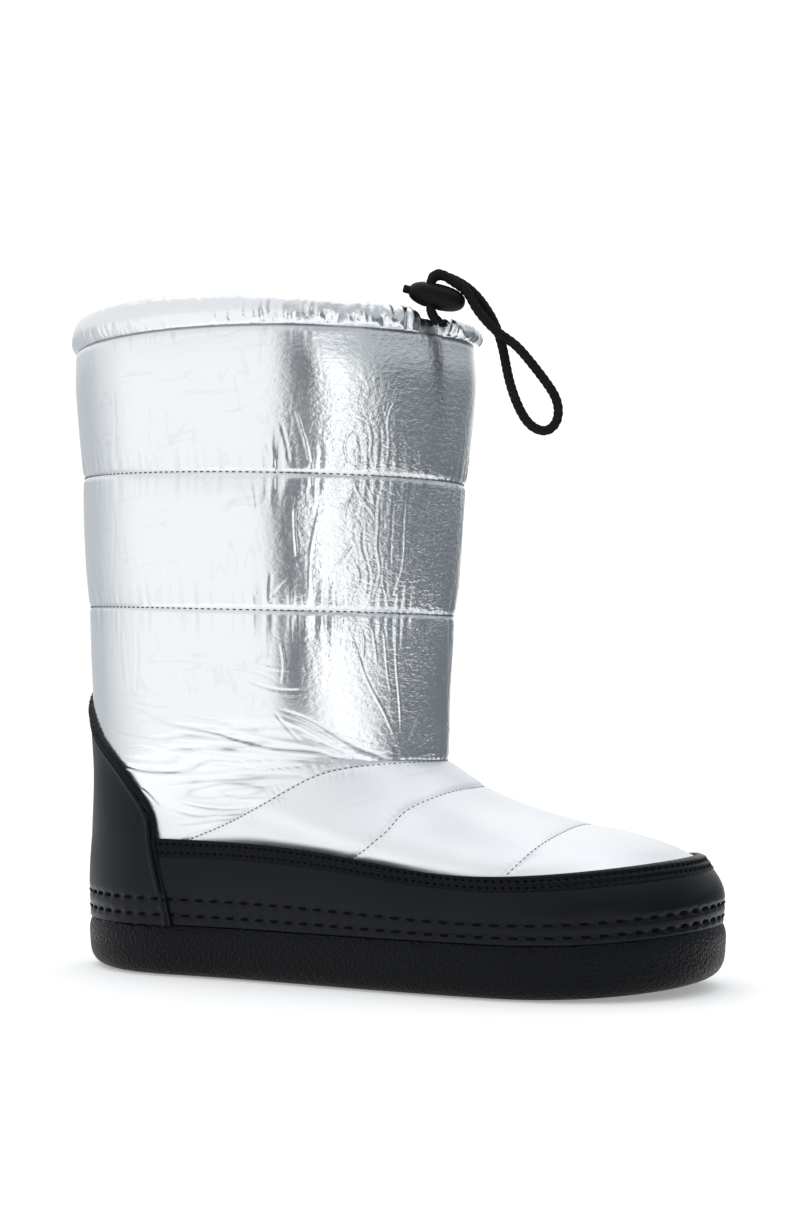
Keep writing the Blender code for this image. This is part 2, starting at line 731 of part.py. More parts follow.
def lock_frame():
    """Upright frame of the cord lock: X along the loop's plane."""
    frame = bpy.data.objects.new("cord_lock_frame", None)
    frame.location = LOCK_CENTRE * MM
    frame.rotation_euler = (0, 0, LOCK_TURN)
    bpy.context.scene.collection.objects.link(frame)
    return frame


def make_cord_lock(frame):
    """The oval bead, with a blind bore for its button and an upright hole for both strands."""
    half = LOCK_LENGTH / 2
    bore = BUTTON_RADIUS + GAP
    bore_floor = -half + BUTTON_IN + BUTTON_TRAVEL + BORE_SPARE
    profile = [(bore_floor, 0), (bore_floor, bore)]
    for k in range(1, LOCK_STEPS + 1):
        x = -half * math.cos(math.pi * k / LOCK_STEPS)
        radius = LOCK_HEIGHT / 2 * (1 - abs(x / half) ** LOCK_FULLNESS) ** (1 / LOCK_FULLNESS)
        if k == 1:
            profile.append((x - BORE_LIP, bore))
        profile.append((x, radius if k < LOCK_STEPS else 0))
    bm = turned(profile)
    outside = [v for v in bm.verts if v.co.yz.length > bore + GAP]
    bmesh.ops.scale(bm, vec=(1, LOCK_OVAL, 1), verts=outside)
    bead = add_object("cord_lock", bm, "black plastic", BLACK_PLASTIC)
    bead.parent = frame
    bead.rotation_euler = (0, LOCK_TILT, 0)
    cut(bead, make_cord_hole_cutter(frame))
    return bead


def make_cord_hole_cutter(frame):
    """An upright slot with round ends that clears both strands."""
    apart = CORD_DIAMETER / 2 + GAP
    radius = CORD_DIAMETER / 2 + CORD_HOLE_SLACK
    arc = [math.pi * k / CORD_HOLE_STEPS for k in range(CORD_HOLE_STEPS + 1)]
    outline_points = [(radius * math.cos(a), apart + radius * math.sin(a)) for a in arc]
    outline_points += [(-x, -y) for x, y in outline_points]
    bm = bmesh.new()
    corners = [bm.verts.new((CORD_HOLE_ALONG + x, y, -LOCK_HEIGHT)) for x, y in outline_points]
    face = bm.faces.new(corners)
    raised = bmesh.ops.extrude_face_region(bm, geom=[face])["geom"]
    tops = [v for v in raised if isinstance(v, bmesh.types.BMVert)]
    bmesh.ops.translate(bm, vec=(0, 0, 2 * LOCK_HEIGHT), verts=tops)
    cutter = add_object("cord_hole_cutter", bm, "black plastic", BLACK_PLASTIC)
    cutter.parent = frame
    return cutter


def make_lock_button(frame):
    """The button that releases the cord when it is pressed into the bead."""
    end = -LOCK_LENGTH / 2
    profile = [
        (end - BUTTON_OUT, 0),
        (end - BUTTON_OUT, BUTTON_RADIUS - BUTTON_ROUND),
        (end - BUTTON_OUT + BUTTON_ROUND, BUTTON_RADIUS),
        (end + BUTTON_IN, BUTTON_RADIUS),
        (end + BUTTON_IN, 0),
    ]
    button = add_object("cord_lock_button", turned(profile), "black plastic", BLACK_PLASTIC)
    button.parent = frame
    button.rotation_euler = (0, LOCK_TILT, 0)
    return button


def make_drawcord(frame):
    """The doubled end of the collar's cord, up through the lock and over the front in a hanging loop."""
    route = np.array([(p.along, -p.out, p.up) for p in CORD_ROUTE])
    along = np.concatenate([[0], np.cumsum(np.linalg.norm(np.diff(route, axis=0), axis=1))])
    points = spline(along, route, np.linspace(0, along[-1], CORD_POINTS))
    curve = bpy.data.curves.new("drawcord", "CURVE")
    curve.dimensions = "3D"
    curve.bevel_depth = CORD_DIAMETER / 2 * MM
    curve.bevel_resolution = 2
    curve.use_fill_caps = True
    path = curve.splines.new("POLY")
    path.points.add(len(points) - 1)
    for spot, point in zip(path.points, points):
        spot.co = (*(point * MM), 1)
    curve.materials.append(material("black braid", BLACK_BRAID))
    cord = bpy.data.objects.new("drawcord", curve)
    cord.parent = frame
    bpy.context.scene.collection.objects.link(cord)
    return cord


def main():
    for old in list(bpy.data.objects):
        bpy.data.objects.remove(old)
    make_outsole()
    make_insole()
    make_upper()
    make_rand()
    make_heel_counter()
    make_collar_tunnel()
    frame = lock_frame()
    make_cord_lock(frame)
    make_lock_button(frame)
    make_drawcord(frame)


main()
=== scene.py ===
import math
from collections import namedtuple

import bmesh
import bpy
import numpy as np
from mathutils import Matrix, Vector, kdtree, noise


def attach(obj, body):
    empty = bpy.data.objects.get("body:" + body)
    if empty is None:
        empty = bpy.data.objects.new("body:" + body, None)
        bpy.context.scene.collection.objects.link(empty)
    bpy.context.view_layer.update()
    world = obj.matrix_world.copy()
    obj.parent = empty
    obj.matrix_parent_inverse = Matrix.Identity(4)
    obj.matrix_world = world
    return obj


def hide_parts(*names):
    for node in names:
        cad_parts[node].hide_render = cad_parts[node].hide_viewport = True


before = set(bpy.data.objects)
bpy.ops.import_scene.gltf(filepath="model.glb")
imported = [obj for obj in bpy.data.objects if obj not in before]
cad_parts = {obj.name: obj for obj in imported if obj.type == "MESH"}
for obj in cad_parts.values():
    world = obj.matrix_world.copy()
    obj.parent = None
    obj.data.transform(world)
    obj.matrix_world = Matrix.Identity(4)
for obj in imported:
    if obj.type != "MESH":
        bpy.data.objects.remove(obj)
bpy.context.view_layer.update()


# Outsole. One moulding of black rubber with a rounded lower edge, a pebbled side and straight bars
# across the tread. It is cemented under the upper and lifts a little at the toe.
MM = 0.001
GAP = 0.3
HEEL_X = -141
TOE_X = 145
TOE_TIP_Y = 7
SOLE_EDGE = 22
TOE_SPRING = 5
SPRING_START_X = 70
SOLE_COLUMNS = 360
SOLE_ROWS = 26
OutlineRow = namedtuple("OutlineRow", "x outer inner")
SOLE_OUTLINE = (
    OutlineRow(-130, 22, 22),
    OutlineRow(-109, 36.5, 36),
    OutlineRow(-72, 41.5, 39.5),
    OutlineRow(-32, 46, 39),
    OutlineRow(13, 52.5, 42.5),
    OutlineRow(48, 56, 48.5),
    OutlineRow(78, 56, 52.5),
    OutlineRow(103, 50.5, 52),
    OutlineRow(124, 38.5, 45),
    OutlineRow(138, 22, 33),
)
SideRow = namedtuple("SideRow", "inset height")
SOLE_SIDE = (
    SideRow(1.2, SOLE_EDGE),
    SideRow(0.2, SOLE_EDGE - 2.5),
    SideRow(0, 12),
    SideRow(0.8, 6),
    SideRow(3, 2.4),
    SideRow(6.5, 0.5),
    SideRow(10, 0),
)
TREAD_DEPTH = 2.5
TREAD_GROOVE = 5
TREAD_RIM = 15
GROOVES = (-112, -96, -80, -40, -24, 20, 36, 52, 68, 84, 100)
RUBBER_BLACK = (0.0020, 0.0020, 0.0023)
RUBBER_WORN = (0.0038, 0.0038, 0.0042)
COOL_SHINE = (0.86, 0.92, 1.0, 1)
SOLE_CORNER = 50
OUTLINE_SPOTS = 1201
OUTLINE_STEP = 0.004


def spline(knots, values, at):
    """The natural cubic spline through values at the knots, read at other places."""
    knots = np.asarray(knots, float)
    values = np.asarray(values, float).reshape(len(knots), -1)
    gaps = np.diff(knots)
    slopes = np.diff(values, axis=0) / gaps[:, None]
    system = np.eye(len(knots))
    change = np.zeros_like(values)
    for i in range(1, len(knots) - 1):
        system[i, i - 1 : i + 2] = gaps[i - 1], 2 * (gaps[i - 1] + gaps[i]), gaps[i]
        change[i] = 6 * (slopes[i] - slopes[i - 1])
    bend = np.linalg.solve(system, change)
    at = np.clip(np.asarray(at, float), knots[0], knots[-1])
    i = np.clip(np.searchsorted(knots, at) - 1, 0, len(gaps) - 1)
    t = (at - knots[i])[..., None]
    gap = gaps[i][..., None]
    first = slopes[i] - gap * (2 * bend[i] + bend[i + 1]) / 6
    found = values[i] + t * first + t**2 * bend[i] / 2 + t**3 * (bend[i + 1] - bend[i]) / (6 * gap)
    return found[..., 0] if values.shape[1] == 1 else found


def column(table, name):
    return [getattr(row, name) for row in table]


def smooth_step(low, high, value):
    t = np.clip((value - low) / (high - low), 0, 1)
    return t * t * (3 - 2 * t)


def run_lengths(points):
    """Distance along a line of points, up to each of them."""
    steps = np.linalg.norm(np.diff(points, axis=0), axis=1)
    return np.concatenate([[0], np.cumsum(steps)])


def toe_lift(x):
    share = np.clip((x - SPRING_START_X) / (TOE_X - SPRING_START_X), 0, 1)
    return TOE_SPRING * share**2


def trace_outline():
    """The sole's edge from the heel round the outer side: shares of the way round and points."""
    outer = [(row.x, -row.outer) for row in SOLE_OUTLINE]
    inner = [(row.x, row.inner) for row in reversed(SOLE_OUTLINE)]
    ring = [(HEEL_X, 0), *outer, (TOE_X, TOE_TIP_Y), *inner]
    toe = len(outer) + 1
    wrap = 4
    points = np.array(ring[-wrap:] + ring + ring[: wrap + 1], float)
    along = run_lengths(points)
    fine = np.linspace(along[wrap], along[wrap + len(ring)], OUTLINE_SPOTS)
    line = spline(along, points, fine)
    length = run_lengths(line)
    toe_length = np.interp(along[wrap + toe], fine, length)
    share = np.interp(length, [0, toe_length, length[-1]], [0, 0.5, 1])
    return share, line


OUTLINE_SHARE, OUTLINE_LINE = trace_outline()


def outline_point(u):
    u = np.mod(u, 1)
    return np.stack([np.interp(u, OUTLINE_SHARE, OUTLINE_LINE[:, k]) for k in range(2)], axis=-1)


def outline(u, inset):
    """Points of the sole's edge at shares u of the way round, moved in by inset."""
    run = outline_point(u + OUTLINE_STEP) - outline_point(u - OUTLINE_STEP)
    run /= np.linalg.norm(run, axis=-1, keepdims=True)
    outward = np.stack([run[..., 1], -run[..., 0]], axis=-1)
    return outline_point(u) - outward * np.asarray(inset)[..., None]


def grid_quads(rows, columns, closed, start=0):
    """Corner numbers of the quads between the rows of a grid, joined round where the rows are closed."""
    i = np.arange(columns if closed else columns - 1)
    j = (i + 1) % columns
    quads = [np.stack([r * columns + i, r * columns + j, (r + 1) * columns + j, (r + 1) * columns + i], 1)
             for r in range(rows - 1)]
    return (np.concatenate(quads) + start).tolist()


def across_strips(row):
    """Faces across a closed row of corners that starts at the heel."""
    half = len(row) // 2
    faces = [[row[0], row[1], row[-1]]]
    faces += [[row[i], row[i + 1], row[-i - 1], row[-i]] for i in range(1, half - 1)]
    faces.append([row[half - 1], row[half], row[-half + 1]])
    return faces


def put_in_scene(name, data):
    thing = bpy.data.objects.new(name, data)
    bpy.context.scene.collection.objects.link(thing)
    return thing


def turn_faces_out(mesh):
    bm = bmesh.new()
    bm.from_mesh(mesh)
    bmesh.ops.recalc_face_normals(bm, faces=bm.faces)
    bm.to_mesh(mesh)
    bm.free()


def smooth_over(mesh, corner=None):
    """Shades a mesh smooth, with a hard edge where it turns by more than the corner's degrees."""
    mesh.shade_smooth()
    if corner:
        mesh.set_sharp_from_angle(angle=math.radians(corner))


def add_piece(name, points, faces, finish, slot, body="boot", corner=None, normals=None):
    """An object of a mesh in millimetres, shaded smooth, that moves with a body."""
    mesh = bpy.data.meshes.new(name)
    mesh.from_pydata((np.asarray(points, float) * MM).tolist(), [], faces)
    if normals is None:
        turn_faces_out(mesh)
    smooth_over(mesh, corner)
    if normals is not None:
        mesh.normals_split_custom_set_from_vertices(np.asarray(normals).tolist())
    mesh.materials.append(finish)
    piece = put_in_scene(name, mesh)
    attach(piece, body)
    return piece


def new_finish(name, colour, roughness, metallic=0.0):
    """A material whose even values sit on its own shader."""
    made = bpy.data.materials.new(name)
    made.use_nodes = True
    shader = made.node_tree.nodes["Principled BSDF"]
    shader.inputs["Base Color"].default_value = (*colour, 1)
    shader.inputs["Roughness"].default_value = roughness
    shader.inputs["Metallic"].default_value = metallic
    return made, made.node_tree, shader


def joined(tree, kind, values=(), **settings):
    """A node with its settings, and with values or links on its inputs."""
    node = tree.nodes.new(kind)
    for key, value in settings.items():
        setattr(node, key, value)
    for key, value in dict(values).items():
        if isinstance(value, bpy.types.NodeSocket):
            tree.links.new(value, node.inputs[key])
        else:
            node.inputs[key].default_value = value
    return node


def place(tree, scale):
    """Places on the boot in metres, stretched by a scale along each axis."""
    where = joined(tree, "ShaderNodeTexCoord")
    return joined(tree, "ShaderNodeMapping", {"Vector": where.outputs["Object"], "Scale": scale}).outputs[0]


def speckle(tree, scale, detail=2.0, roughness=0.5):
    """Soft random height, with grains of 1 / scale metres."""
    return joined(tree, "ShaderNodeTexNoise", {
        "Vector": place(tree, scale), "Scale": 1.0, "Detail": detail, "Roughness": roughness}).outputs["Fac"]


def pebbles(tree, scale, smoothness=0.4):
    """Rounded grains that touch, 1 / scale metres apart."""
    return joined(tree, "ShaderNodeTexVoronoi", {
        "Vector": place(tree, scale), "Scale": 1.0, "Smoothness": smoothness},
        feature="SMOOTH_F1").outputs["Distance"]


def sums(tree, first, second, how="ADD"):
    return joined(tree, "ShaderNodeMath", {0: first, 1: second}, operation=how).outputs[0]


def ramp(tree, value, stops):
    """A colour for each value, through the stops (place, colour)."""
    node = joined(tree, "ShaderNodeValToRGB", {"Fac": value})
    line = node.color_ramp.elements
    while len(line) < len(stops):
        line.new(0.5)
    for stop, (spot, colour) in zip(line, stops):
        stop.position = spot
        stop.color = (*colour, 1)
    return node.outputs["Color"]


def even_ramp(tree, value, low, high, at_low, at_high):
    return joined(tree, "ShaderNodeMapRange", {
        "Value": value, "From Min": low, "From Max": high, "To Min": at_low, "To Max": at_high}).outputs[0]


def raise_bumps(tree, shader, height, depth):
    """Bumps of a height from 0 to 1 and a depth in metres."""
    bumps = joined(tree, "ShaderNodeBump", {"Height": height, "Distance": depth, "Strength": 1.0})
    tree.links.new(bumps.outputs[0], shader.inputs["Normal"])


def rubber_finish():
    made, tree, shader = new_finish("pebbled rubber", RUBBER_BLACK, 0.6)
    grain = pebbles(tree, (720, 720, 720))
    fine = speckle(tree, (1500, 1500, 1500), 2)
    height = sums(tree, grain, sums(tree, fine, 0.5, "MULTIPLY"))
    raise_bumps(tree, shader, height, 0.0009)
    worn = speckle(tree, (35, 35, 60), 4)
    tree.links.new(even_ramp(tree, worn, 0.3, 0.7, 0.3, 0.44), shader.inputs["Roughness"])
    tone = ramp(tree, worn, [(0.35, RUBBER_BLACK), (0.7, RUBBER_WORN)])
    tree.links.new(tone, shader.inputs["Base Color"])
    shader.inputs["Specular IOR Level"].default_value = 0.13
    shader.inputs["Specular Tint"].default_value = COOL_SHINE
    return made


def sole_row(u, inset, height):
    plan = outline(u, np.full(len(u), float(inset)))
    return np.concatenate([plan, (height + toe_lift(plan[:, 0]))[:, None]], axis=1)


def tread_cutter():
    """The grooves, each a bar that stops short of the sole's rim."""
    below = 4
    bm = bmesh.new()
    stations = column(SOLE_OUTLINE, "x")
    for x in GROOVES:
        outer = spline(stations, column(SOLE_OUTLINE, "outer"), x) - TREAD_RIM
        inner = spline(stations, column(SOLE_OUTLINE, "inner"), x) - TREAD_RIM
        top = TREAD_DEPTH + toe_lift(x)
        centre = Vector((x, (inner - outer) / 2, (top - below) / 2)) * MM
        size = Vector((TREAD_GROOVE, outer + inner, top + below)) * MM
        bmesh.ops.create_cube(bm, size=1, matrix=Matrix.LocRotScale(centre, None, size))
    mesh = bpy.data.meshes.new("grooves")
    bm.to_mesh(mesh)
    bm.free()
    return put_in_scene("grooves", mesh)


def cut_away(piece, cutter):
    """Takes the cutter's shape out of a piece, and drops the cutter."""
    step = piece.modifiers.new("cut", "BOOLEAN")
    step.operation = "DIFFERENCE"
    step.object = cutter
    step.solver = "EXACT"
    bpy.context.view_layer.update()
    left = bpy.data.meshes.new_from_object(piece.evaluated_get(bpy.context.evaluated_depsgraph_get()))
    piece.modifiers.remove(step)
    piece.data = left
    bpy.data.objects.remove(cutter)


side_run = run_lengths(np.array(SOLE_SIDE, float))
side_rows = spline(side_run, np.array(SOLE_SIDE, float), np.linspace(0, side_run[-1], SOLE_ROWS))
sole_spots = np.arange(SOLE_COLUMNS) / SOLE_COLUMNS
sole_points = np.concatenate([sole_row(sole_spots, inset, height) for inset, height in side_rows])
sole_points[:, 2] = np.maximum(sole_points[:, 2], 0)
top_row = list(range(SOLE_COLUMNS))
tread_row = list(range((SOLE_ROWS - 1) * SOLE_COLUMNS, SOLE_ROWS * SOLE_COLUMNS))
sole_faces = grid_quads(SOLE_ROWS, SOLE_COLUMNS, True) + across_strips(top_row) + across_strips(tread_row)
sole = add_piece("sole", sole_points, sole_faces, rubber_finish(), "black_rubber", corner=SOLE_CORNER)
cut_away(sole, tread_cutter())
smooth_over(sole.data, SOLE_CORNER)
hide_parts("outsole")


# Footbed. A loose foam insole under the lining, covered in the same grey fleece, with soft edges.
# It lies on the sole inside the upper.
FLEECE_GREY = (0.115, 0.116, 0.122)
FLEECE_DARK = (0.07, 0.071, 0.075)
FLEECE_LIGHT = (0.17, 0.171, 0.178)
FOOTBED_INSET = 9.2
FOOTBED_THICKNESS = 4.5
FOOTBED_COLUMNS = 200
FOOTBED_ROUND = 1.6
FOOTBED_CORNER = 60
FootbedRow = namedtuple("FootbedRow", "inset drop")
FOOTBED_SIDE = (
    FootbedRow(7, 0),
    FootbedRow(FOOTBED_ROUND, 0.1),
    FootbedRow(0.4, 0.6),
    FootbedRow(0, FOOTBED_ROUND),
    FootbedRow(0, FOOTBED_THICKNESS),
)


def fleece_finish():
    made, tree, shader = new_finish("grey fleece", FLEECE_GREY, 0.95)
    tufts = speckle(tree, (420, 420, 420), 5, 0.7)
    curls = pebbles(tree, (300, 300, 300), 0.8)
    raise_bumps(tree, shader, sums(tree, tufts, curls), 0.0022)
    tone = ramp(tree, tufts, [(0.3, FLEECE_DARK), (0.7, FLEECE_LIGHT)])
    tree.links.new(tone, shader.inputs["Base Color"])
    shader.inputs["Sheen Weight"].default_value = 0.5
    shader.inputs["Sheen Roughness"].default_value = 0.6
    return made


fleece = fleece_finish()
footbed_top = SOLE_EDGE + GAP + FOOTBED_THICKNESS
footbed_spots = np.arange(FOOTBED_COLUMNS) / FOOTBED_COLUMNS
footbed_rows = [(FOOTBED_INSET + row.inset, footbed_top - row.drop) for row in FOOTBED_SIDE]
footbed_points = np.concatenate([sole_row(footbed_spots, *row) for row in footbed_rows])
footbed_last = (len(footbed_rows) - 1) * FOOTBED_COLUMNS
footbed_faces = grid_quads(len(footbed_rows), FOOTBED_COLUMNS, True)
footbed_faces += across_strips(list(range(FOOTBED_COLUMNS)))
footbed_faces += across_strips(list(range(footbed_last, footbed_last + FOOTBED_COLUMNS)))
footbed = add_piece("footbed", footbed_points, footbed_faces, fleece, "grey_fleece", corner=FOOTBED_CORNER)
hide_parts("insole")


# Quilted shell. Foil-coated cloth over padding, sewn through in bands: two across the shaft, one that
# wraps the ankle and three over the instep. The foil keeps every crease it has been folded into.
WALL = 5
LevelRow = namedtuple("LevelRow", "level heel side toe")
FOOT_INSETS = (
    LevelRow(0, 2.8, 3.2, 2.8),
    LevelRow(0.45, 2.3, 2.4, 2.6),
    LevelRow(1, 3.4, 5.5, 10.2),
)
FOOT_ENDS = 0.28
EdgeRow = namedtuple("EdgeRow", "x height")
RAND_EDGE = (
    EdgeRow(HEEL_X, 58),
    EdgeRow(-92, 58),
    EdgeRow(-44, 57.5),
    EdgeRow(3, 53.5),
    EdgeRow(40, 49),
    EdgeRow(77, 48),
    EdgeRow(108, 50),
    EdgeRow(TOE_X, 54),
)
RingRow = namedtuple("RingRow", "back_z front_z back_x front_x half_width")
ANKLE = RingRow(104, 92, -136.5, 27, 46.5)
SHIN = RingRow(130, 124, -137.5, 27, 51)
LOW_SEAM = RingRow(159, 154, -139, 29.5, 55)
HIGH_SEAM = RingRow(215.5, 210, -140.5, 33.5, 62.5)
COLLAR_SEAM = RingRow(272, 272, -144.1, 39.5, 69)
SHAFT_RINGS = (ANKLE, SHIN, LOW_SEAM, HIGH_SEAM, COLLAR_SEAM)
VAMP_LENGTH = TOE_X - ANKLE.front_x
TOE_LIFT = 12
THROAT_LIFT = 48
THROAT_SPAN = 0.09
ANKLE_SPAN = 0.22
SHAFT_PUFF = 1.1
VAMP_PUFF = 0.7
PUFF_POWER = 3
EDGE_FADE = 0.12
ANKLE_SEAM = (
    EdgeRow(-120, 40),
    EdgeRow(-75, 59),
    EdgeRow(-37, 75),
    EdgeRow(-12, 88),
    EdgeRow(1, 91),
    EdgeRow(18, 92.5),
    EdgeRow(40, 92),
)
SeamRow = namedtuple("SeamRow", "round rise")
REAR_VAMP_SEAM = (
    SeamRow(0, 0.86),
    SeamRow(0.02, 0.858),
    SeamRow(0.06, 0.84),
    SeamRow(0.1, 0.785),
    SeamRow(0.135, 0.68),
    SeamRow(0.17, 0.487),
    SeamRow(0.205, 0.305),
    SeamRow(0.25, 0.06),
    SeamRow(0.3, -0.21),
)
FRONT_VAMP_SEAM = (
    SeamRow(0, 0.447),
    SeamRow(0.015, 0.443),
    SeamRow(0.05, 0.4),
    SeamRow(0.095, 0.283),
    SeamRow(0.135, 0.12),
    SeamRow(0.16, 0),
    SeamRow(0.2, -0.22),
)
SHELL_FOOT_LEVEL = 0.9
FOIL_SILVER = (0.86, 0.875, 0.89)


def edge_height(table, x):
    return spline(column(table, "x"), column(table, "height"), x)


def front_share(u):
    return (1 - np.cos(2 * np.pi * u)) / 2


def foot_loop(u, level):
    """The upper under the rand: level 0 is the sole's top and 1 the rand's top edge."""
    levels = column(FOOT_INSETS, "level")
    ends = ("heel", "side", "toe")
    heel, side, toe = (spline(levels, column(FOOT_INSETS, end), level) for end in ends)
    front = front_share(u)
    toe_part = smooth_step(1 - FOOT_ENDS, 1, front)
    heel_part = smooth_step(FOOT_ENDS, 0, front)
    plan = outline(u, side + toe_part * (toe - side) + heel_part * (heel - side))
    low = SOLE_EDGE + GAP + toe_lift(plan[..., 0])
    high = edge_height(RAND_EDGE, plan[..., 0])
    return np.concatenate([plan, (low + level * (high - low))[..., None]], axis=-1)


def ring_loop(u, ring):
    front = front_share(u)
    x = ring.back_x + front * (ring.front_x - ring.back_x)
    y = -ring.half_width * np.sin(2 * np.pi * u)
    z = ring.back_z + front * (ring.front_z - ring.back_z)
    return np.stack([x, y, z], axis=-1)


def vamp_point(u, t):
    """Between the rand's edge at t 0 and the ankle at t 1: creased at the throat, smooth at the sides."""
    low = foot_loop(u, np.ones_like(u))
    high = ring_loop(u, ANKLE)
    chord = high - low
    side = smooth_step(THROAT_SPAN, ANKLE_SPAN, np.abs(np.mod(u, 1) - 0.5))[..., None]
    up = np.array([0, 0, 1.0])
    climb = ring_loop(u, SHIN) - high
    span = np.linalg.norm(chord, axis=-1, keepdims=True)
    rise = span * climb / np.linalg.norm(climb, axis=-1, keepdims=True)
    leave = chord + (1 - side) * TOE_LIFT * up
    arrive = (1 - side) * (chord + THROAT_LIFT * up) + side * rise
    return ((1 + 2 * t) * (1 - t) ** 2 * low + t * (1 - t) ** 2 * leave
            + t**2 * (3 - 2 * t) * high + t**2 * (t - 1) * arrive)


RING_HEIGHTS = np.array([(ring.back_z + ring.front_z) / 2 for ring in SHAFT_RINGS])
RING_LEVELS = 2 + (RING_HEIGHTS - RING_HEIGHTS[0]) / (RING_HEIGHTS[-1] - RING_HEIGHTS[0])


def shaft_point(u, t):
    """Up the shaft from the ankle at t 0 to the collar seam at t 1."""
    rings = np.stack([ring_loop(u, ring) for ring in SHAFT_RINGS])
    flat = spline(RING_LEVELS - 2, rings.reshape(len(RING_LEVELS), -1), t)
    return flat.reshape(rings.shape[1:])


def base_row(u, level):
    """One row of the upper before it is padded: 0 to 1 the foot, 1 to 2 the vamp, 2 to 3 the shaft."""
    if level <= 1:
        return foot_loop(u, np.full_like(u, level))
    if level <= 2:
        return vamp_point(u, level - 1)
    return shaft_point(u, level - 2)


def base_grid(u, levels):
    return np.stack([base_row(u, level) for level in levels])


def upper_normals(u, levels):
    """Outward directions of the base surface, each read inside the level's own part of the upper."""
    step = 0.01
    part_top = np.maximum(np.ceil(levels), 1)
    across = base_grid(u + step / 4, levels) - base_grid(u - step / 4, levels)
    up = base_grid(u, np.minimum(levels + step, part_top)) - base_grid(u, np.maximum(levels - step, part_top - 1))
    out = np.cross(across, up)
    return out / np.linalg.norm(out, axis=-1, keepdims=True)


def behind_seam(seam, u, t):
    rise = spline(column(seam, "round"), column(seam, "rise"), np.abs(np.mod(u, 1) - 0.5))
    return (t - rise) * VAMP_LENGTH


def puff(before, after):
    before = np.maximum(before, 0)
    after = np.maximum(after, 0)
    share = before / np.maximum(before + after, 1e-6)
    return 1 - np.abs(2 * share - 1) ** PUFF_POWER


def padding(u, levels, grid):
    """How far the padding lifts each point of the upper off its base."""
    x, z = grid[..., 0], grid[..., 2]
    front = front_share(u)[None, :]
    seams = [edge_height(ANKLE_SEAM, x)]
    for ring in (LOW_SEAM, HIGH_SEAM, COLLAR_SEAM):
        seams.append(ring.back_z + front * (ring.front_z - ring.back_z))
    rise = np.zeros_like(x)
    for low, high in zip(seams, seams[1:]):
        rise = np.where((z >= low) & (z <= high), SHAFT_PUFF * puff(z - low, high - z), rise)
    t = levels[:, None] - 1
    rear = behind_seam(REAR_VAMP_SEAM, u[None, :], t)
    fore = behind_seam(FRONT_VAMP_SEAM, u[None, :], t)
    instep = np.where(rear > 0, puff(seams[0] - z, rear), puff(-rear, fore))
    instep = np.where(fore > 0, instep, puff(-fore, t * VAMP_LENGTH))
    rise = np.where(z < seams[0], VAMP_PUFF * instep, rise)
    return rise * smooth_step(1, 1 + EDGE_FADE, levels)[:, None]


def on_upper(u, level, lift=0.0):
    """Points of the base at paired places round and levels, moved out by lift, and their outward directions."""
    points = np.array([base_row(np.array([a]), b)[0] for a, b in zip(u, level)])
    out = np.array([upper_normals(np.array([a]), np.array([b]))[0, 0] for a, b in zip(u, level)])
    return points + out * lift, out


def level_at_height(u, heights):
    """Level of the upper at each place round and height."""
    levels = np.linspace(0.6, 3, 181)
    climb = base_grid(np.asarray(u, float), levels)[..., 2]
    return np.array([np.interp(z, climb[:, i], levels) for i, z in enumerate(heights)])


# The lines along which the shell is sewn through, as points on its base, with the way out at each
SEAM_SPOTS = 720
ANKLE_SEAM_ROUND = (0.115, 0.885)
ANKLE_SEAM_LEVELS = (0.95, 2.1)


def ring_seam(level):
    u = np.arange(SEAM_SPOTS + 1) / SEAM_SPOTS
    levels = np.array([level])
    return base_grid(u, levels)[0], upper_normals(u, levels)[0], u


def vamp_seam(seam):
    reach = np.interp(0, column(seam, "rise")[::-1], column(seam, "round")[::-1])
    u = 0.5 + np.linspace(-reach, reach, SEAM_SPOTS // 3)
    rise = spline(column(seam, "round"), column(seam, "rise"), np.abs(u - 0.5))
    return (*on_upper(u, 1 + np.clip(rise, 0, 1)), u)


def ankle_seam():
    """The seam that runs from the rand at the heel up to the throat, on both sides."""
    u = np.linspace(*ANKLE_SEAM_ROUND, SEAM_SPOTS // 2)
    levels = np.linspace(*ANKLE_SEAM_LEVELS, 400)
    grid = base_grid(u, levels)
    above = grid[..., 2] - edge_height(ANKLE_SEAM, grid[..., 0])
    found = [np.interp(0, above[:, i], levels) for i in range(len(u))]
    keep = np.array([level > 1 for level in found])
    return (*on_upper(u[keep], np.array(found)[keep]), u[keep])


seams = {
    "low": ring_seam(RING_LEVELS[2]),
    "high": ring_seam(RING_LEVELS[3]),
    "collar": ring_seam(3.0),
    "ankle": ankle_seam(),
    "rear_vamp": vamp_seam(REAR_VAMP_SEAM),
    "front_vamp": vamp_seam(FRONT_VAMP_SEAM),
}
# How deep each seam pulls the shell in, how wide its valley is, and how much the cloth puckers along it
SeamPull = namedtuple("SeamPull", "depth width pucker reach pitch")
SEAM_PULL = {
    "low": SeamPull(0.55, 1.15, 0.14, 10.5, 5.6),
    "high": SeamPull(0.55, 1.15, 0.14, 10.5, 5.9),
    "collar": SeamPull(0.5, 1.4, 0.06, 6.0, 4.2),
    "ankle": SeamPull(0.3, 1.2, 0.09, 5.0, 3.4),
    "rear_vamp": SeamPull(0.22, 1.2, 0.09, 4.5, 3.0),
    "front_vamp": SeamPull(0.22, 1.2, 0.05, 3.5, 2.8),
}
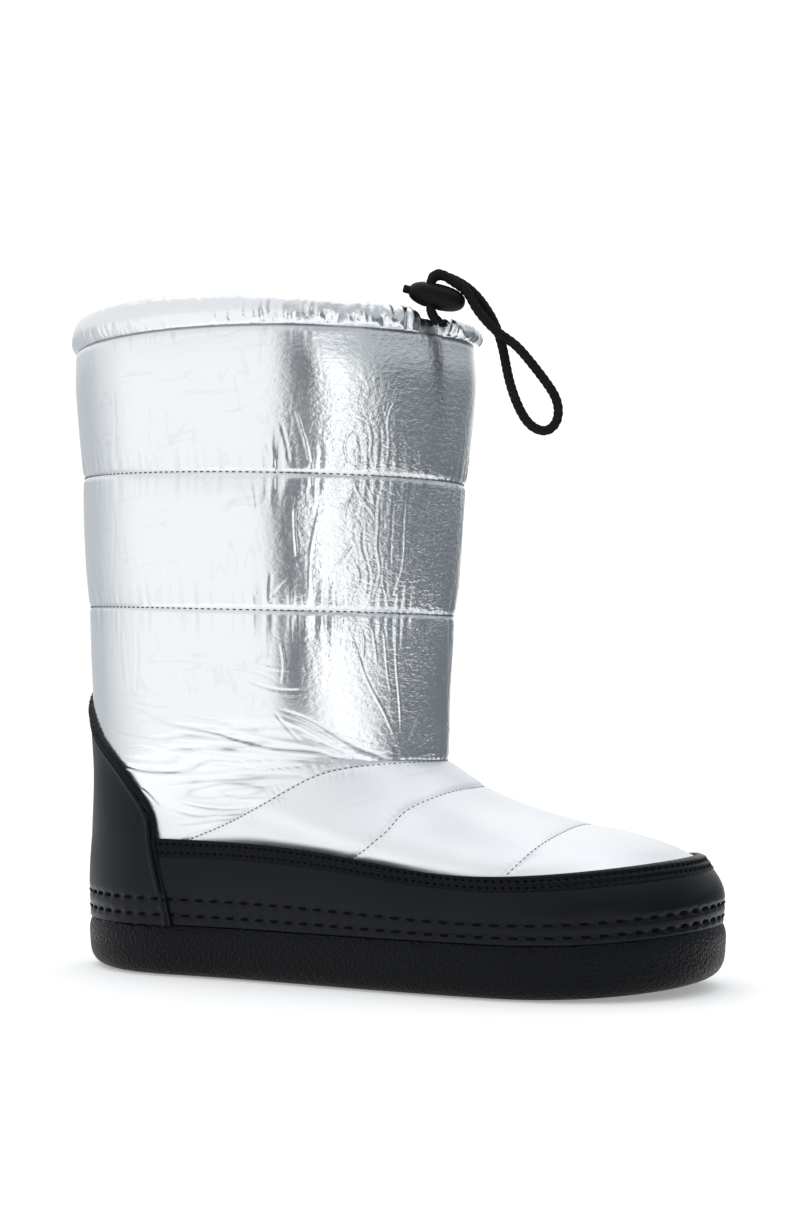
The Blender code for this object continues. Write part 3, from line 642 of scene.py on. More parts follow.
# Creases of the outer side: depth, below 0 for a trough, half width, and the route as places round the
# boot and heights. The inner side has the same ones.
Crease = namedtuple("Crease", "depth width route")
CREASES = (
    Crease(0.7, 1.2, ((0.402, 243), (0.397, 237.5), (0.395, 231.5), (0.397, 225), (0.397, 219), (0.396, 213.5))),
    Crease(0.55, 1.3, ((0.376, 233), (0.381, 226), (0.381, 219), (0.385, 213.5))),
    Crease(0.45, 1.2, ((0.363, 236.5), (0.37, 234.5), (0.376, 233))),
    Crease(0.4, 1.1, ((0.366, 229.5), (0.36, 226), (0.36, 218.5), (0.365, 213))),
    Crease(0.5, 1.1, ((0.421, 221.5), (0.42, 218), (0.417, 212))),
    Crease(0.4, 1.1, ((0.427, 225), (0.43, 219), (0.432, 214))),
    Crease(0.3, 1.2, ((0.433, 237), (0.462, 239.5), (0.509, 240))),
    Crease(0.3, 1.2, ((0.439, 224), (0.455, 224.5), (0.474, 225))),
    Crease(-0.5, 1.6, ((0.388, 231), (0.39, 223), (0.389, 213.5))),
    Crease(-0.4, 1.5, ((0.369, 228.5), (0.372, 221.5), (0.375, 213))),
    Crease(0.4, 1.1, ((0.458, 222), (0.471, 219.5), (0.485, 216))),
    Crease(-0.35, 1.6, ((0.406, 229.5), (0.407, 221), (0.408, 212.5))),
    Crease(0.3, 1.6, ((0.319, 238.5), (0.325, 228.5), (0.33, 218.5), (0.332, 213))),
    Crease(-0.3, 1.8, ((0.308, 232.5), (0.313, 222.5), (0.315, 214))),
    Crease(0.25, 1.8, ((0.28, 228.5), (0.278, 220.5), (0.276, 214))),
    Crease(-0.25, 1.6, ((0.297, 224.5), (0.3, 218.5), (0.3, 213.5))),
    Crease(-0.25, 2.0, ((0.204, 247), (0.2, 231), (0.201, 215))),
    Crease(0.25, 2.2, ((0.236, 234), (0.232, 223.5), (0.233, 213))),
    Crease(-0.3, 2.0, ((0.162, 253.5), (0.161, 232), (0.152, 215))),
    Crease(0.75, 1.3, ((0.395, 208.5), (0.39, 198.5), (0.39, 188.5), (0.389, 181.5), (0.393, 172), (0.388, 162.5),
                       (0.386, 156))),
    Crease(0.75, 1.2, ((0.421, 208), (0.419, 198.5), (0.418, 183.5), (0.416, 172), (0.409, 162), (0.409, 154))),
    Crease(0.5, 1.3, ((0.367, 208.5), (0.373, 202), (0.384, 196), (0.388, 192.5))),
    Crease(0.5, 1.2, ((0.377, 208.5), (0.383, 203), (0.386, 198.5))),
    Crease(0.4, 1.2, ((0.368, 205.5), (0.362, 199.5), (0.359, 192))),
    Crease(0.45, 1.3, ((0.367, 183), (0.358, 177.5), (0.352, 173))),
    Crease(0.45, 1.2, ((0.364, 178), (0.373, 168), (0.367, 161), (0.366, 155.5))),
    Crease(0.5, 1.2, ((0.398, 180.5), (0.396, 168), (0.402, 158), (0.403, 154.5))),
    Crease(0.45, 1.2, ((0.475, 174), (0.46, 165), (0.444, 154))),
    Crease(0.4, 1.1, ((0.489, 170.5), (0.472, 162.5), (0.459, 154))),
    Crease(0.35, 1.1, ((0.507, 165), (0.49, 158.5), (0.478, 154.5))),
    Crease(0.35, 1.5, ((0.487, 206.5), (0.486, 192), (0.489, 177.5))),
    Crease(-0.25, 1.6, ((0.287, 208.5), (0.289, 202), (0.29, 195.5))),
    Crease(-0.22, 1.6, ((0.3, 172), (0.298, 164), (0.297, 157.5))),
    Crease(-0.45, 1.5, ((0.404, 204.5), (0.404, 192.5), (0.403, 180.5), (0.404, 170))),
    Crease(-0.45, 1.4, ((0.377, 192), (0.376, 182), (0.383, 169.5), (0.379, 157.5))),
    Crease(0.35, 1.2, ((0.442, 208), (0.445, 201.5), (0.458, 195.5))),
    Crease(0.3, 1.3, ((0.341, 204.5), (0.337, 194), (0.332, 182), (0.33, 167.5), (0.33, 157.5))),
    Crease(-0.3, 1.6, ((0.319, 200), (0.319, 188), (0.321, 175.5))),
    Crease(0.25, 2.0, ((0.191, 206.5), (0.193, 189.5), (0.189, 172.5), (0.189, 159.5))),
    Crease(-0.25, 2.0, ((0.149, 207.5), (0.153, 190), (0.146, 173.5), (0.147, 159))),
    Crease(0.2, 2.2, ((0.252, 204.5), (0.25, 195), (0.254, 184.5))),
    Crease(0.22, 2.0, ((0.316, 170), (0.305, 164), (0.293, 158))),
    Crease(0.85, 1.2, ((0.412, 151), (0.414, 134.5), (0.419, 117.5), (0.42, 103))),
    Crease(0.5, 1.4, ((0.362, 151), (0.371, 140.5), (0.383, 126.5), (0.402, 112), (0.414, 100))),
    Crease(0.45, 1.2, ((0.373, 151), (0.379, 143), (0.378, 135))),
    Crease(0.45, 1.2, ((0.386, 150.5), (0.39, 141.5), (0.393, 132))),
    Crease(0.5, 1.2, ((0.397, 150.5), (0.401, 141), (0.405, 128.5), (0.41, 119))),
    Crease(-0.5, 1.8, ((0.275, 127.5), (0.303, 123), (0.327, 122.5))),
    Crease(-0.9, 1.8, ((0.299, 115.5), (0.329, 110), (0.349, 104), (0.382, 96.5), (0.411, 93.5))),
    Crease(0.8, 2.4, ((0.295, 112.5), (0.327, 106), (0.347, 100.5), (0.378, 95), (0.407, 92.5))),
    Crease(-0.95, 1.7, ((0.204, 107.5), (0.249, 104.5), (0.276, 100.5), (0.307, 98), (0.332, 97), (0.353, 94),
                        (0.38, 92.5))),
    Crease(0.75, 2.8, ((0.203, 109.5), (0.25, 108), (0.279, 104), (0.311, 101), (0.335, 99), (0.356, 96))),
    Crease(-0.8, 1.8, ((0.116, 89.5), (0.163, 87.5), (0.208, 88))),
    Crease(0.6, 2.6, ((0.119, 92), (0.17, 91), (0.214, 91))),
    Crease(-0.5, 1.6, ((0.148, 81), (0.21, 84), (0.263, 85.5), (0.306, 86.5), (0.33, 86.5))),
    Crease(0.5, 2.6, ((0.175, 85), (0.227, 87), (0.271, 88.5), (0.313, 90))),
    Crease(-0.8, 1.6, ((0.128, 80.5), (0.128, 76.5), (0.127, 71.5))),
    Crease(-0.45, 1.3, ((0.224, 77), (0.26, 78), (0.293, 77.5))),
    Crease(-0.6, 1.4, ((0.134, 73), (0.139, 70.5), (0.147, 69), (0.182, 69.5), (0.217, 70.5))),
    Crease(0.5, 1.8, ((0.153, 75.5), (0.173, 73.5), (0.208, 73), (0.253, 75))),
    Crease(-0.5, 1.3, ((0.122, 64.5), (0.149, 66), (0.186, 68))),
    Crease(0.45, 1.6, ((0.122, 67), (0.149, 67.5), (0.203, 71))),
    Crease(-0.45, 1.2, ((0.123, 60.5), (0.136, 62), (0.15, 63.5))),
    Crease(0.5, 1.3, ((0.429, 97), (0.455, 101.5), (0.476, 105), (0.519, 110))),
    Crease(0.45, 1.3, ((0.433, 95), (0.463, 96), (0.542, 95.5))),
    Crease(0.4, 1.2, ((0.426, 99.5), (0.441, 109), (0.449, 118.5))),
    Crease(0.35, 1.2, ((0.481, 149), (0.486, 135.5), (0.493, 121))),
    Crease(-0.4, 1.5, ((0.299, 114), (0.308, 108), (0.32, 100.5))),
    Crease(0.35, 1.6, ((0.28, 135), (0.299, 132), (0.318, 131.5))),
    Crease(-0.3, 1.6, ((0.256, 132), (0.282, 130.5), (0.304, 127))),
    Crease(-0.35, 1.8, ((0.194, 99.5), (0.23, 97), (0.261, 95), (0.29, 93))),
    Crease(0.35, 2.2, ((0.155, 100.5), (0.194, 97.5), (0.234, 94))),
    Crease(-0.3, 1.8, ((0.156, 118), (0.185, 116), (0.213, 116))),
    Crease(0.3, 2.0, ((0.134, 122.5), (0.174, 121), (0.208, 119.5))),
    Crease(0.3, 2.2, ((0.152, 151.5), (0.153, 135.5), (0.155, 122.5))),
    Crease(-0.28, 2.2, ((0.173, 150), (0.173, 137.5), (0.169, 126.5))),
    Crease(0.4, 1.6, ((0.326, 91.5), (0.342, 91), (0.369, 92.5))),
    Crease(-0.4, 1.4, ((0.317, 104.5), (0.337, 100.5), (0.363, 95.5))),
    Crease(0.3, 1.4, ((0.306, 143.5), (0.309, 135.5), (0.307, 124.5))),
    Crease(0.25, 2.6, ((0.31, 72), (0.337, 76), (0.356, 78.5))),
    Crease(-0.25, 3.0, ((0.392, 86), (0.425, 87.5), (0.472, 88.5))),
)


CREASE_SPOTS = 28
CREASE_HEIGHT = 0.5
CREASE_WIDTH = 0.4
CREASE_REACH = 4
CREASE_FADE = 0.22
CREASE_SHOULDER = 0.4


def crease_lines():
    """Each crease as a fine line of points on the upper, on the outer side and mirrored to the inner."""
    made = []
    spots = [spot for crease in CREASES for spot in crease.route]
    round_at = np.array([spot[0] for spot in spots])
    levels = level_at_height(round_at, [spot[1] for spot in spots])
    for turn in (round_at, 1 - round_at):
        points = on_upper(turn, levels)[0]
        first = 0
        for crease in CREASES:
            line = points[first : first + len(crease.route)]
            first += len(crease.route)
            along = run_lengths(line)
            made.append((crease, spline(along, line, np.linspace(0, along[-1], CREASE_SPOTS))))
    return made


crease_routes = crease_lines()


def crease_relief(points):
    """Height of the listed creases at each point: a ridge or trough that fades out at its ends."""
    relief = np.zeros(len(points))
    for crease, line in crease_routes:
        width = CREASE_WIDTH * crease.width
        reach = CREASE_REACH * width
        near = np.all((points > line.min(axis=0) - reach) & (points < line.max(axis=0) + reach), axis=1)
        spots = np.where(near)[0]
        if not len(spots):
            continue
        start, step = line[:-1], np.diff(line, axis=0)
        away = points[spots][:, None, :] - start[None]
        share = np.clip((away * step).sum(-1) / (step * step).sum(-1), 0, 1)
        gap = np.linalg.norm(away - share[..., None] * step, axis=-1)
        best = gap.argmin(axis=1)
        gap = gap[np.arange(len(spots)), best]
        along = (best + share[np.arange(len(spots)), best]) / len(step)
        fade = smooth_step(0, CREASE_FADE, along) * smooth_step(1, 1 - CREASE_FADE, along)
        middle = np.exp(-((gap / width) ** 2)) - CREASE_SHOULDER * np.exp(-((gap / (2 * width)) ** 2))
        relief[spots] += crease.depth * CREASE_HEIGHT * fade * middle
    return relief


SEAM_REACH = 22


def search_tree(points):
    tree = kdtree.KDTree(len(points))
    for i, spot in enumerate(points):
        tree.insert(spot, i)
    tree.balance()
    return tree


def near_seam(points, line):
    """Which points lie near a seam, how far each is from it, and how far along the seam."""
    tree = search_tree(line)
    inside = (points > line.min(axis=0) - SEAM_REACH) & (points < line.max(axis=0) + SEAM_REACH)
    near = np.where(inside.all(axis=1))[0]
    found = [tree.find(point) for point in points[near]]
    along = run_lengths(line)
    return near, np.array([hit[2] for hit in found]), along[[hit[1] for hit in found]]


GIRTH = 430
FAINT = 0.02
DRIFT_LENGTH = 17
DRIFT_SHIFT = 1.7
SWELL_LENGTH = 9
SWELL_SEED = 7.3
SWELL_EVEN = 0.55
SWELL_SHARE = 1.3


def noise_at(*spot):
    return noise.noise(Vector(spot))


def ripple(along, pitch, seed):
    """An uneven wave along a seam, with a swell of its own every few folds."""
    drift = np.array([noise_at(s / DRIFT_LENGTH, seed, 0.0) for s in along])
    swell = np.array([noise_at(s / SWELL_LENGTH, seed + SWELL_SEED, 0.0) for s in along])
    return np.cos(2 * np.pi * (along / pitch + DRIFT_SHIFT * drift)) * (SWELL_EVEN + SWELL_SHARE * swell)


def side_share(u):
    """0 at the back of the boot and a half at its front, on either side."""
    return np.minimum(np.mod(u, 1), 1 - np.mod(u, 1))


# Where the foil is crumpled: the share of the way to the front, and the heights, over which it comes and goes
CRUSH_FRONT = (0.3, 0.41)
CRUSH_FOOT = (90, 104)
CRUSH_RISE = (112, 165)
CRUSH_TOP = (238, 260)
CRUSH_TOP_LOSS = 0.6
CRUSH_BACK = 0.10


def front_crush(u, z):
    """How crumpled the foil is: most over the front of the shaft on either side, least on the instep."""
    top = 1 - CRUSH_TOP_LOSS * smooth_step(*CRUSH_TOP, z)
    low = 0.5 + 0.5 * smooth_step(*CRUSH_RISE, z)
    return smooth_step(*CRUSH_FOOT, z) * top * low * (CRUSH_BACK + smooth_step(*CRUSH_FRONT, side_share(u)))


# Cells in which the foil is wrinkled, in millimetres round the boot and up it
Cell = namedtuple("Cell", "round up seed")
FOIL_DRIFT = Cell(11, 17, 1.7)
FOIL_RIDGES = Cell(6.4, 15, 3.1)
FOIL_FOLDS = Cell(4.1, 8.5, 9.4)
FOIL_SLANT = 22
RIDGE_HEIGHT = 0.07
FOLD_HEIGHT = 0.06
RIDGE_WIDTH = 0.12


def noise_in(cell, around, height, shift=0.0, lift=0.0):
    """Noise in cells of the foil, slid round by shift and up by lift, both in cells."""
    return noise_at(around / cell.round + shift, height / cell.up + lift, cell.seed)


def foil_relief(points, u):
    """Small crumples of the foil: thin ridges that meet in a net, longer up the boot than round it."""
    weight = front_crush(u, points[:, 2])
    relief = np.zeros(len(points))
    for i in np.where(weight > FAINT)[0]:
        around, height = u[i] * GIRTH, points[i, 2]
        drift = noise_in(FOIL_DRIFT, around, height)
        ridge = abs(noise_in(FOIL_RIDGES, around, height, drift, drift))
        fold = abs(noise_in(FOIL_FOLDS, around, height, height / FOIL_SLANT - drift))
        relief[i] = RIDGE_HEIGHT * math.exp(-ridge / RIDGE_WIDTH) + FOLD_HEIGHT * math.exp(-fold / RIDGE_WIDTH)
    return relief * weight


# The wrinkles of the ankle start at the throat and open towards the heel
THROAT_ROUND = 0.43
THROAT_HEIGHT = 93
FAN_ROOT = 8
FAN_OPENING = 0.2
FAN_START = (0, 14)
FAN_END = (150, 70)
FAN_EDGE = (1.1, 0.4)
FAN_OVER_SEAM = (0, 4)
FAN_WANDER = Cell(15, 0.4, 4.2)
FanLine = namedtuple("FanLine", "depth width run lines wander seed")
FAN_LINES = (FanLine(0.19, 0.065, 62, 4.2, 0.25, 7.7), FanLine(0.11, 0.09, 34, 7.5, 0.35, 1.3))


def ankle_fan(points, u):
    """Fine wrinkles of the ankle, that spread from the throat back towards the heel on either side."""
    back = (THROAT_ROUND - side_share(u)) * GIRTH
    spread = (points[:, 2] - THROAT_HEIGHT) / (FAN_ROOT + FAN_OPENING * np.maximum(back, 0))
    weight = smooth_step(*FAN_START, back) * smooth_step(*FAN_EDGE, np.abs(spread)) * smooth_step(*FAN_END, back)
    weight *= smooth_step(*FAN_OVER_SEAM, points[:, 2] - edge_height(ANKLE_SEAM, points[:, 0]))
    relief = np.zeros(len(points))
    for i in np.where(weight > FAINT)[0]:
        wander = noise_in(FAN_WANDER, back[i], spread[i])
        for line in FAN_LINES:
            found = noise_at(back[i] / line.run, line.lines * spread[i] + line.wander * wander, line.seed)
            relief[i] += line.depth * math.exp(-((found / line.width) ** 2))
    return relief * weight


HAIR_DRIFT = Cell(12, 14, 5.3)
UPRIGHT_HAIRS = Cell(4.6, 21, 2.2)
UPRIGHT_PATCHES = Cell(16, 15, 8.1)
LEVEL_HAIRS = Cell(22, 4.2, 6.6)
LEVEL_PATCHES = Cell(19, 13, 2.9)
PATCH_EDGE = (-0.05, 0.3)
HAIR_WIDTH = 0.08
HAIR_FRONT = (0.4, 0.33)
HAIR_FOOT = (96, 125)


def hair_creases(points, u):
    """Hair-thin creases in patches over the sides and back of the shaft, upright and level."""
    weight = smooth_step(*HAIR_FRONT, side_share(u)) * smooth_step(*HAIR_FOOT, points[:, 2])
    marks = np.zeros(len(points))
    for i in np.where(weight > FAINT)[0]:
        spot = u[i] * GIRTH, points[i, 2]
        drift = noise_in(HAIR_DRIFT, *spot)
        upright = noise_in(UPRIGHT_HAIRS, *spot, drift, -drift)
        level = noise_in(LEVEL_HAIRS, *spot, drift, drift)
        for hair, patches in ((upright, UPRIGHT_PATCHES), (level, LEVEL_PATCHES)):
            patch = smooth_step(*PATCH_EDGE, noise_in(patches, *spot))
            marks[i] += patch * math.exp(-((hair / HAIR_WIDTH) ** 2))
    return marks * weight


SLACK_LENGTHS = (34, 34, 46)


def slow_swell(points):
    """Slack in the cloth: low, broad waves."""
    return np.array([noise_at(*(point / SLACK_LENGTHS)) for point in points])


COLLAR_SAG = 2.5
SAG_START = 236
COLLAR_DRAW = 2.1
DRAW_REACH = 13
DRAW_FRONT = (0.3, 0.4)
DRAW_BACK = 0.25


def collar_sag(u):
    """How far the collar hangs below its own height: most at the back and the front."""
    return COLLAR_SAG * np.cos(2 * np.pi * u) ** 2


def collar_draw(u, z):
    """How far the drawcord pulls the top of the shell in: most over the outer and inner front."""
    front = DRAW_BACK + (1 - DRAW_BACK) * smooth_step(*DRAW_FRONT, side_share(u))
    below = (COLLAR_SEAM.front_z - z) / DRAW_REACH
    return COLLAR_DRAW * front * np.exp(-(below**2))


TURN_ROUND = 0.32
TURN_OUT = 1.5
TURN_BEND = (-22, 28)
TURN_BACK = (0.1, 0.25)
TURN_FRONT = (0.49, 0.43)
TURN_TOP = (218, 198)
TURN_FOOT = (88, 112)


def side_turn(u, z):
    """A soft bend where the flat side of the lower bands turns to the front: out behind it, in before it."""
    side = side_share(u)
    bend = TURN_OUT * (1 - 2 * smooth_step(*TURN_BEND, (side - TURN_ROUND) * GIRTH))
    across = smooth_step(*TURN_BACK, side) * smooth_step(*TURN_FRONT, side)
    return bend * across * smooth_step(*TURN_TOP, z) * smooth_step(*TURN_FOOT, z)


SATIN_ANKLE = 0.7
SATIN_RISE = (48, 0)
SATIN_SIDE = (0.42, 0.3)
SATIN_COLLAR = 0.25
SATIN_TOP = (222, 248)
SATIN_FRONT = (0.39, 0.44)


def satin_share(points, u):
    """How satin the foil is: wholly on the instep, less up the ankle's side, a little under the collar's front."""
    side = side_share(u)
    over_ankle = points[:, 2] - edge_height(ANKLE_SEAM, points[:, 0])
    ankle = SATIN_ANKLE * smooth_step(*SATIN_RISE, over_ankle) * smooth_step(*SATIN_SIDE, side)
    satin = np.where(over_ankle < 0, 1, ankle)
    satin += SATIN_COLLAR * smooth_step(*SATIN_TOP, points[:, 2]) * smooth_step(*SATIN_FRONT, side)
    return np.clip(satin, 0, 1)


# How dark a shade is painted into the foil down in its creases, seams and puckers, and how far from a seam it is
# held flat
FOLD_DEPTH = 0.34
SEAM_PAINTED_SHADE = {"collar": (1.0, 1.3), "low": (0.6, 0.8), "high": (0.6, 0.8)}
VAMP_PAINTED_SHADE = (0.4, 0.6)
PUCKER_PAINTED_SHADE = 0.42
HAIR_PAINTED_SHADE = 0.2
HAIR_DEPTH = 0.03
SEAM_HOLD = 1.3
SEAM_SEED = 3.7
PUCKER_START = 1.1
PUCKER_CRUSH = 0.6
SLACK = 0.3
SLACK_START = (75, 105)


def shell_points(u, levels):
    """The outside of the shell with its seams, puckers and creases; how crumpled and satin it is, and the shade
    painted into its folds.
    """
    grid = base_grid(u, levels)
    out = upper_normals(u, levels)
    plain = (grid + out * padding(u, levels, grid)[..., None]).reshape(-1, 3)
    base = grid.reshape(-1, 3)
    height = base[:, 2]
    spots = np.tile(u, len(levels))
    crush = front_crush(spots, height)
    creases = crease_relief(base) - ankle_fan(base, spots)
    hairs = hair_creases(base, spots)
    # Painted shade: the colour darkens down in the creases' troughs and along the hair-thin creases.
    fold = np.maximum(np.clip(-creases / FOLD_DEPTH, 0, 1), HAIR_PAINTED_SHADE * hairs)
    relief = creases + foil_relief(base, spots) - HAIR_DEPTH * hairs
    relief += slow_swell(base) * SLACK * smooth_step(*SLACK_START, height)
    hold = np.ones(len(relief))
    valley = np.zeros(len(relief))
    for number, (name, (line, _, _)) in enumerate(seams.items()):
        pull = SEAM_PULL[name]
        shade, reach = SEAM_PAINTED_SHADE.get(name, VAMP_PAINTED_SHADE)
        near, gap, along = near_seam(base, line)
        hold[near] *= 1 - np.exp(-((gap / SEAM_HOLD) ** 2))
        valley[near] -= pull.depth * np.exp(-((gap / pull.width) ** 2))
        wave = ripple(along, pull.pitch, SEAM_SEED * number) * np.exp(-((gap / pull.reach) ** 2))
        tight = 1 - np.exp(-((gap / PUCKER_START) ** 2))
        relief[near] += pull.pucker * (1.0 + PUCKER_CRUSH * crush[near]) * wave * tight
        # Painted shade along each seam's valley and in the troughs of its puckers, darkest under the collar roll.
        dark = np.maximum(shade * np.exp(-((gap / reach) ** 4)), PUCKER_PAINTED_SHADE * np.clip(-wave, 0, 1) * tight)
        fold[near] = np.maximum(fold[near], dark)
    relief = relief * hold + valley - collar_draw(spots, height) + side_turn(spots, height)
    made = plain + out.reshape(-1, 3) * relief[:, None]
    made[:, 2] -= collar_sag(spots) * smooth_step(SAG_START, COLLAR_SEAM.front_z, height)
    return made, crush, satin_share(base, spots), fold


# Painted shade: the foil's colour half-way down and deep in a fold, seam or pucker.
FOIL_PAINTED_HALF_SHADE = (0.72, 0.735, 0.755)
FOIL_PAINTED_DEEP_SHADE = (0.25, 0.26, 0.28)


def read_mark(tree, name):
    return joined(tree, "ShaderNodeAttribute", attribute_name=name).outputs["Fac"]


def foil_finish():
    """Polished and crinkled on the shaft, satin over the instep, with shade painted into its colour down in the
    folds.
    """
    made, tree, shader = new_finish("silver foil cloth", FOIL_SILVER, 0.24, 1.0)
    # The fold mark is painted shade: how dark the foil is painted in its creases, seams and puckers.
    crush, satin, fold = (read_mark(tree, name) for name in ("crush", "satin", "fold"))
    crinkle = speckle(tree, (400, 400, 600), 3, 0.6)
    hairs = speckle(tree, (70, 70, 1300), 3, 0.6)
    weave = speckle(tree, (1100, 1100, 1500), 2, 0.5)
    crinkled = sums(tree, crinkle, even_ramp(tree, crush, 0.1, 1.0, 0.06, 0.46), "MULTIPLY")
    drawn = sums(tree, hairs, even_ramp(tree, crush, 0.0, 1.0, 0.022, 0.055), "MULTIPLY")
    gloss = even_ramp(tree, satin, 0.0, 1.0, 1.0, 0.12)
    height = sums(tree, sums(tree, crinkled, drawn), gloss, "MULTIPLY")
    height = sums(tree, height, sums(tree, weave, 0.018, "MULTIPLY"))
    raise_bumps(tree, shader, height, 0.0011)
    clouds = speckle(tree, (40, 40, 25), 3)
    base_rough = even_ramp(tree, satin, 0.0, 1.0, 0.15, 0.46)
    rough = sums(tree, base_rough, even_ramp(tree, clouds, 0.3, 0.7, -0.03, 0.05))
    tree.links.new(rough, shader.inputs["Roughness"])
    # Painted shade from the fold mark darkens the silver in creases, seams and puckers.
    tone = ramp(tree, fold, [(0.05, FOIL_SILVER), (0.5, FOIL_PAINTED_HALF_SHADE), (1.0, FOIL_PAINTED_DEEP_SHADE)])
    tree.links.new(tone, shader.inputs["Base Color"])
    return made


def add_mark(piece, name, shares):
    """A share from 0 to 1 at every corner of a piece, for its finish to read."""
    kept = piece.data.attributes.new(name, "FLOAT", "POINT")
    kept.data.foreach_set("value", np.asarray(shares, np.float32))


silver_foil = foil_finish()
SHELL_COLUMNS = 744
CROWDING = 1.3
CROWDED_FRONT = (0.27, 0.2)
ShellBand = namedtuple("ShellBand", "name low high rows")
SHELL_BANDS = (
    ShellBand("shell_vamp", SHELL_FOOT_LEVEL, 2.0, 132),
    ShellBand("shell_ankle", 2.0, RING_LEVELS[2], 98),
    ShellBand("shell_middle_band", RING_LEVELS[2], RING_LEVELS[3], 86),
    ShellBand("shell_top_band", RING_LEVELS[3], 3.0, 86),
)


def shell_spots():
    """Places round the shell, closer together over the crumpled front than at the heel."""
    fine = np.linspace(0, 1, 4001)
    crowd = np.cumsum(1 + CROWDING * smooth_step(*CROWDED_FRONT, np.abs(fine - 0.5)))
    crowd = (crowd - crowd[0]) / (crowd[-1] - crowd[0])
    return np.interp(np.arange(SHELL_COLUMNS) / SHELL_COLUMNS, crowd, fine)


def grid_normals(points):
    """Outward directions of a closed grid, from the points either side of each."""
    around = np.roll(points, -1, axis=1) - np.roll(points, 1, axis=1)
    upward = np.gradient(points, axis=0)
    out = np.cross(around, upward)
    return out / np.linalg.norm(out, axis=-1, keepdims=True)


shell_u = shell_spots()
band_levels = [np.linspace(band.low, band.high, band.rows) for band in SHELL_BANDS]
all_levels = np.concatenate([band_levels[0]] + [levels[1:] for levels in band_levels[1:]])
shell_at, shell_crush, shell_satin, shell_painted_shade = shell_points(shell_u, all_levels)
shell_grid = shell_at.reshape(len(all_levels), SHELL_COLUMNS, 3)
shell_out = grid_normals(shell_grid)
first_row = 0
for band in SHELL_BANDS:
    rows = slice(first_row, first_row + band.rows)
    corners = slice(first_row * SHELL_COLUMNS, (first_row + band.rows) * SHELL_COLUMNS)
    band_piece = add_piece(band.name, shell_grid[rows].reshape(-1, 3), grid_quads(band.rows, SHELL_COLUMNS, True),
                           silver_foil, "silver_foil", normals=shell_out[rows].reshape(-1, 3))
    # The fold mark carries the painted shade of creases, seams and puckers to the foil's colour.
    for mark, shares in (("crush", shell_crush), ("satin", shell_satin), ("fold", shell_painted_shade)):
        add_mark(band_piece, mark, shares[corners])
    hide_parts("upper")
    first_row += band.rows - 1


# Lining. Grey fleece sewn in behind the padding, from the footbed up to the collar. It does not show in
# the picture, so its colour and pile are the usual ones.
LINING_COLUMNS = 120
LINING_ROWS = 60
LINING_FOOT_LEVEL = 0.12
LINING_SWELL = 0.5
lining_u = np.arange(LINING_COLUMNS) / LINING_COLUMNS
lining_levels = np.linspace(LINING_FOOT_LEVEL, 3, LINING_ROWS)
lining_out = upper_normals(lining_u, lining_levels)
lining_grid = base_grid(lining_u, lining_levels) - lining_out * WALL
lining_waves = slow_swell(lining_grid.reshape(-1, 3) * 2).reshape(LINING_ROWS, LINING_COLUMNS)
lining_grid += lining_out * LINING_SWELL * lining_waves[..., None]
lining = add_piece("lining", lining_grid.reshape(-1, 3), grid_quads(LINING_ROWS, LINING_COLUMNS, True), fleece,
                   "grey_fleece")
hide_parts("upper")


# Quilting thread. Grey thread in short stitches along the bottom of every seam that holds the padding,
# sewn by machine through the foil cloth, the padding and its backing.
THREAD_GREY = (0.12, 0.124, 0.132)
QuiltStitch = namedtuple("QuiltStitch", "pitch length radius stand")
SHAFT_STITCH = QuiltStitch(2.9, 1.6, 0.3, 0.16)
VAMP_STITCH = QuiltStitch(2.35, 1.55, 0.26, 0.06)


StitchRing = namedtuple("StitchRing", "share girth")
STITCH_RINGS = (StitchRing(-0.5, 0.35), StitchRing(-0.42, 0.8), StitchRing(0.0, 1.0), StitchRing(0.42, 0.8),
                StitchRing(0.5, 0.35))
STITCH_SINK = 0.7
STITCH_LOOK = 0.4


def point_along(run, along, points):
    return np.array([np.interp(run, along, points[:, k]) for k in range(3)])


def stitches(name, points, outs, pitch, length, radius, finish, slot, sides):
    """A row of stitches, each a short rounded bar lying along a line and rising a little in the middle."""
    along = run_lengths(points)
    turn = np.arange(sides) * 2 * np.pi / sides
    made, faces = [], []
    for spot in np.arange(pitch / 2, along[-1], pitch):
        start = len(made)
        for share, girth in STITCH_RINGS:
            at = np.clip(spot + share * length, 0, along[-1])
            here = point_along(at, along, points)
            out = point_along(at, along, outs)
            run = point_along(min(at + STITCH_LOOK, along[-1]), along, points)
            run = run - point_along(max(at - STITCH_LOOK, 0), along, points)
            side = np.cross(out, run / np.linalg.norm(run))
            sunk = -STITCH_SINK * radius * (2 * abs(share)) ** 2
            for a in turn:
                made.append(here + out * sunk + radius * girth * (math.cos(a) * out + math.sin(a) * side))
        faces += grid_quads(len(STITCH_RINGS), sides, True, start)
        faces.append(list(range(start, start + sides))[::-1])
        faces.append(list(range(start + (len(STITCH_RINGS) - 1) * sides, start + len(STITCH_RINGS) * sides)))
    return add_piece(name, np.array(made), faces, finish, slot)


THREAD_SHADE = 0.6


def thread_finish(name, colour):
    made, tree, shader = new_finish(name, colour, 0.6)
    twist = speckle(tree, (2200, 2200, 2200), 2)
    raise_bumps(tree, shader, twist, 0.0003)
    dark = tuple(THREAD_SHADE * c for c in colour)
    tree.links.new(ramp(tree, twist, [(0.35, dark), (0.65, colour)]), shader.inputs["Base Color"])
    shader.inputs["Specular IOR Level"].default_value = 0.06
    return made


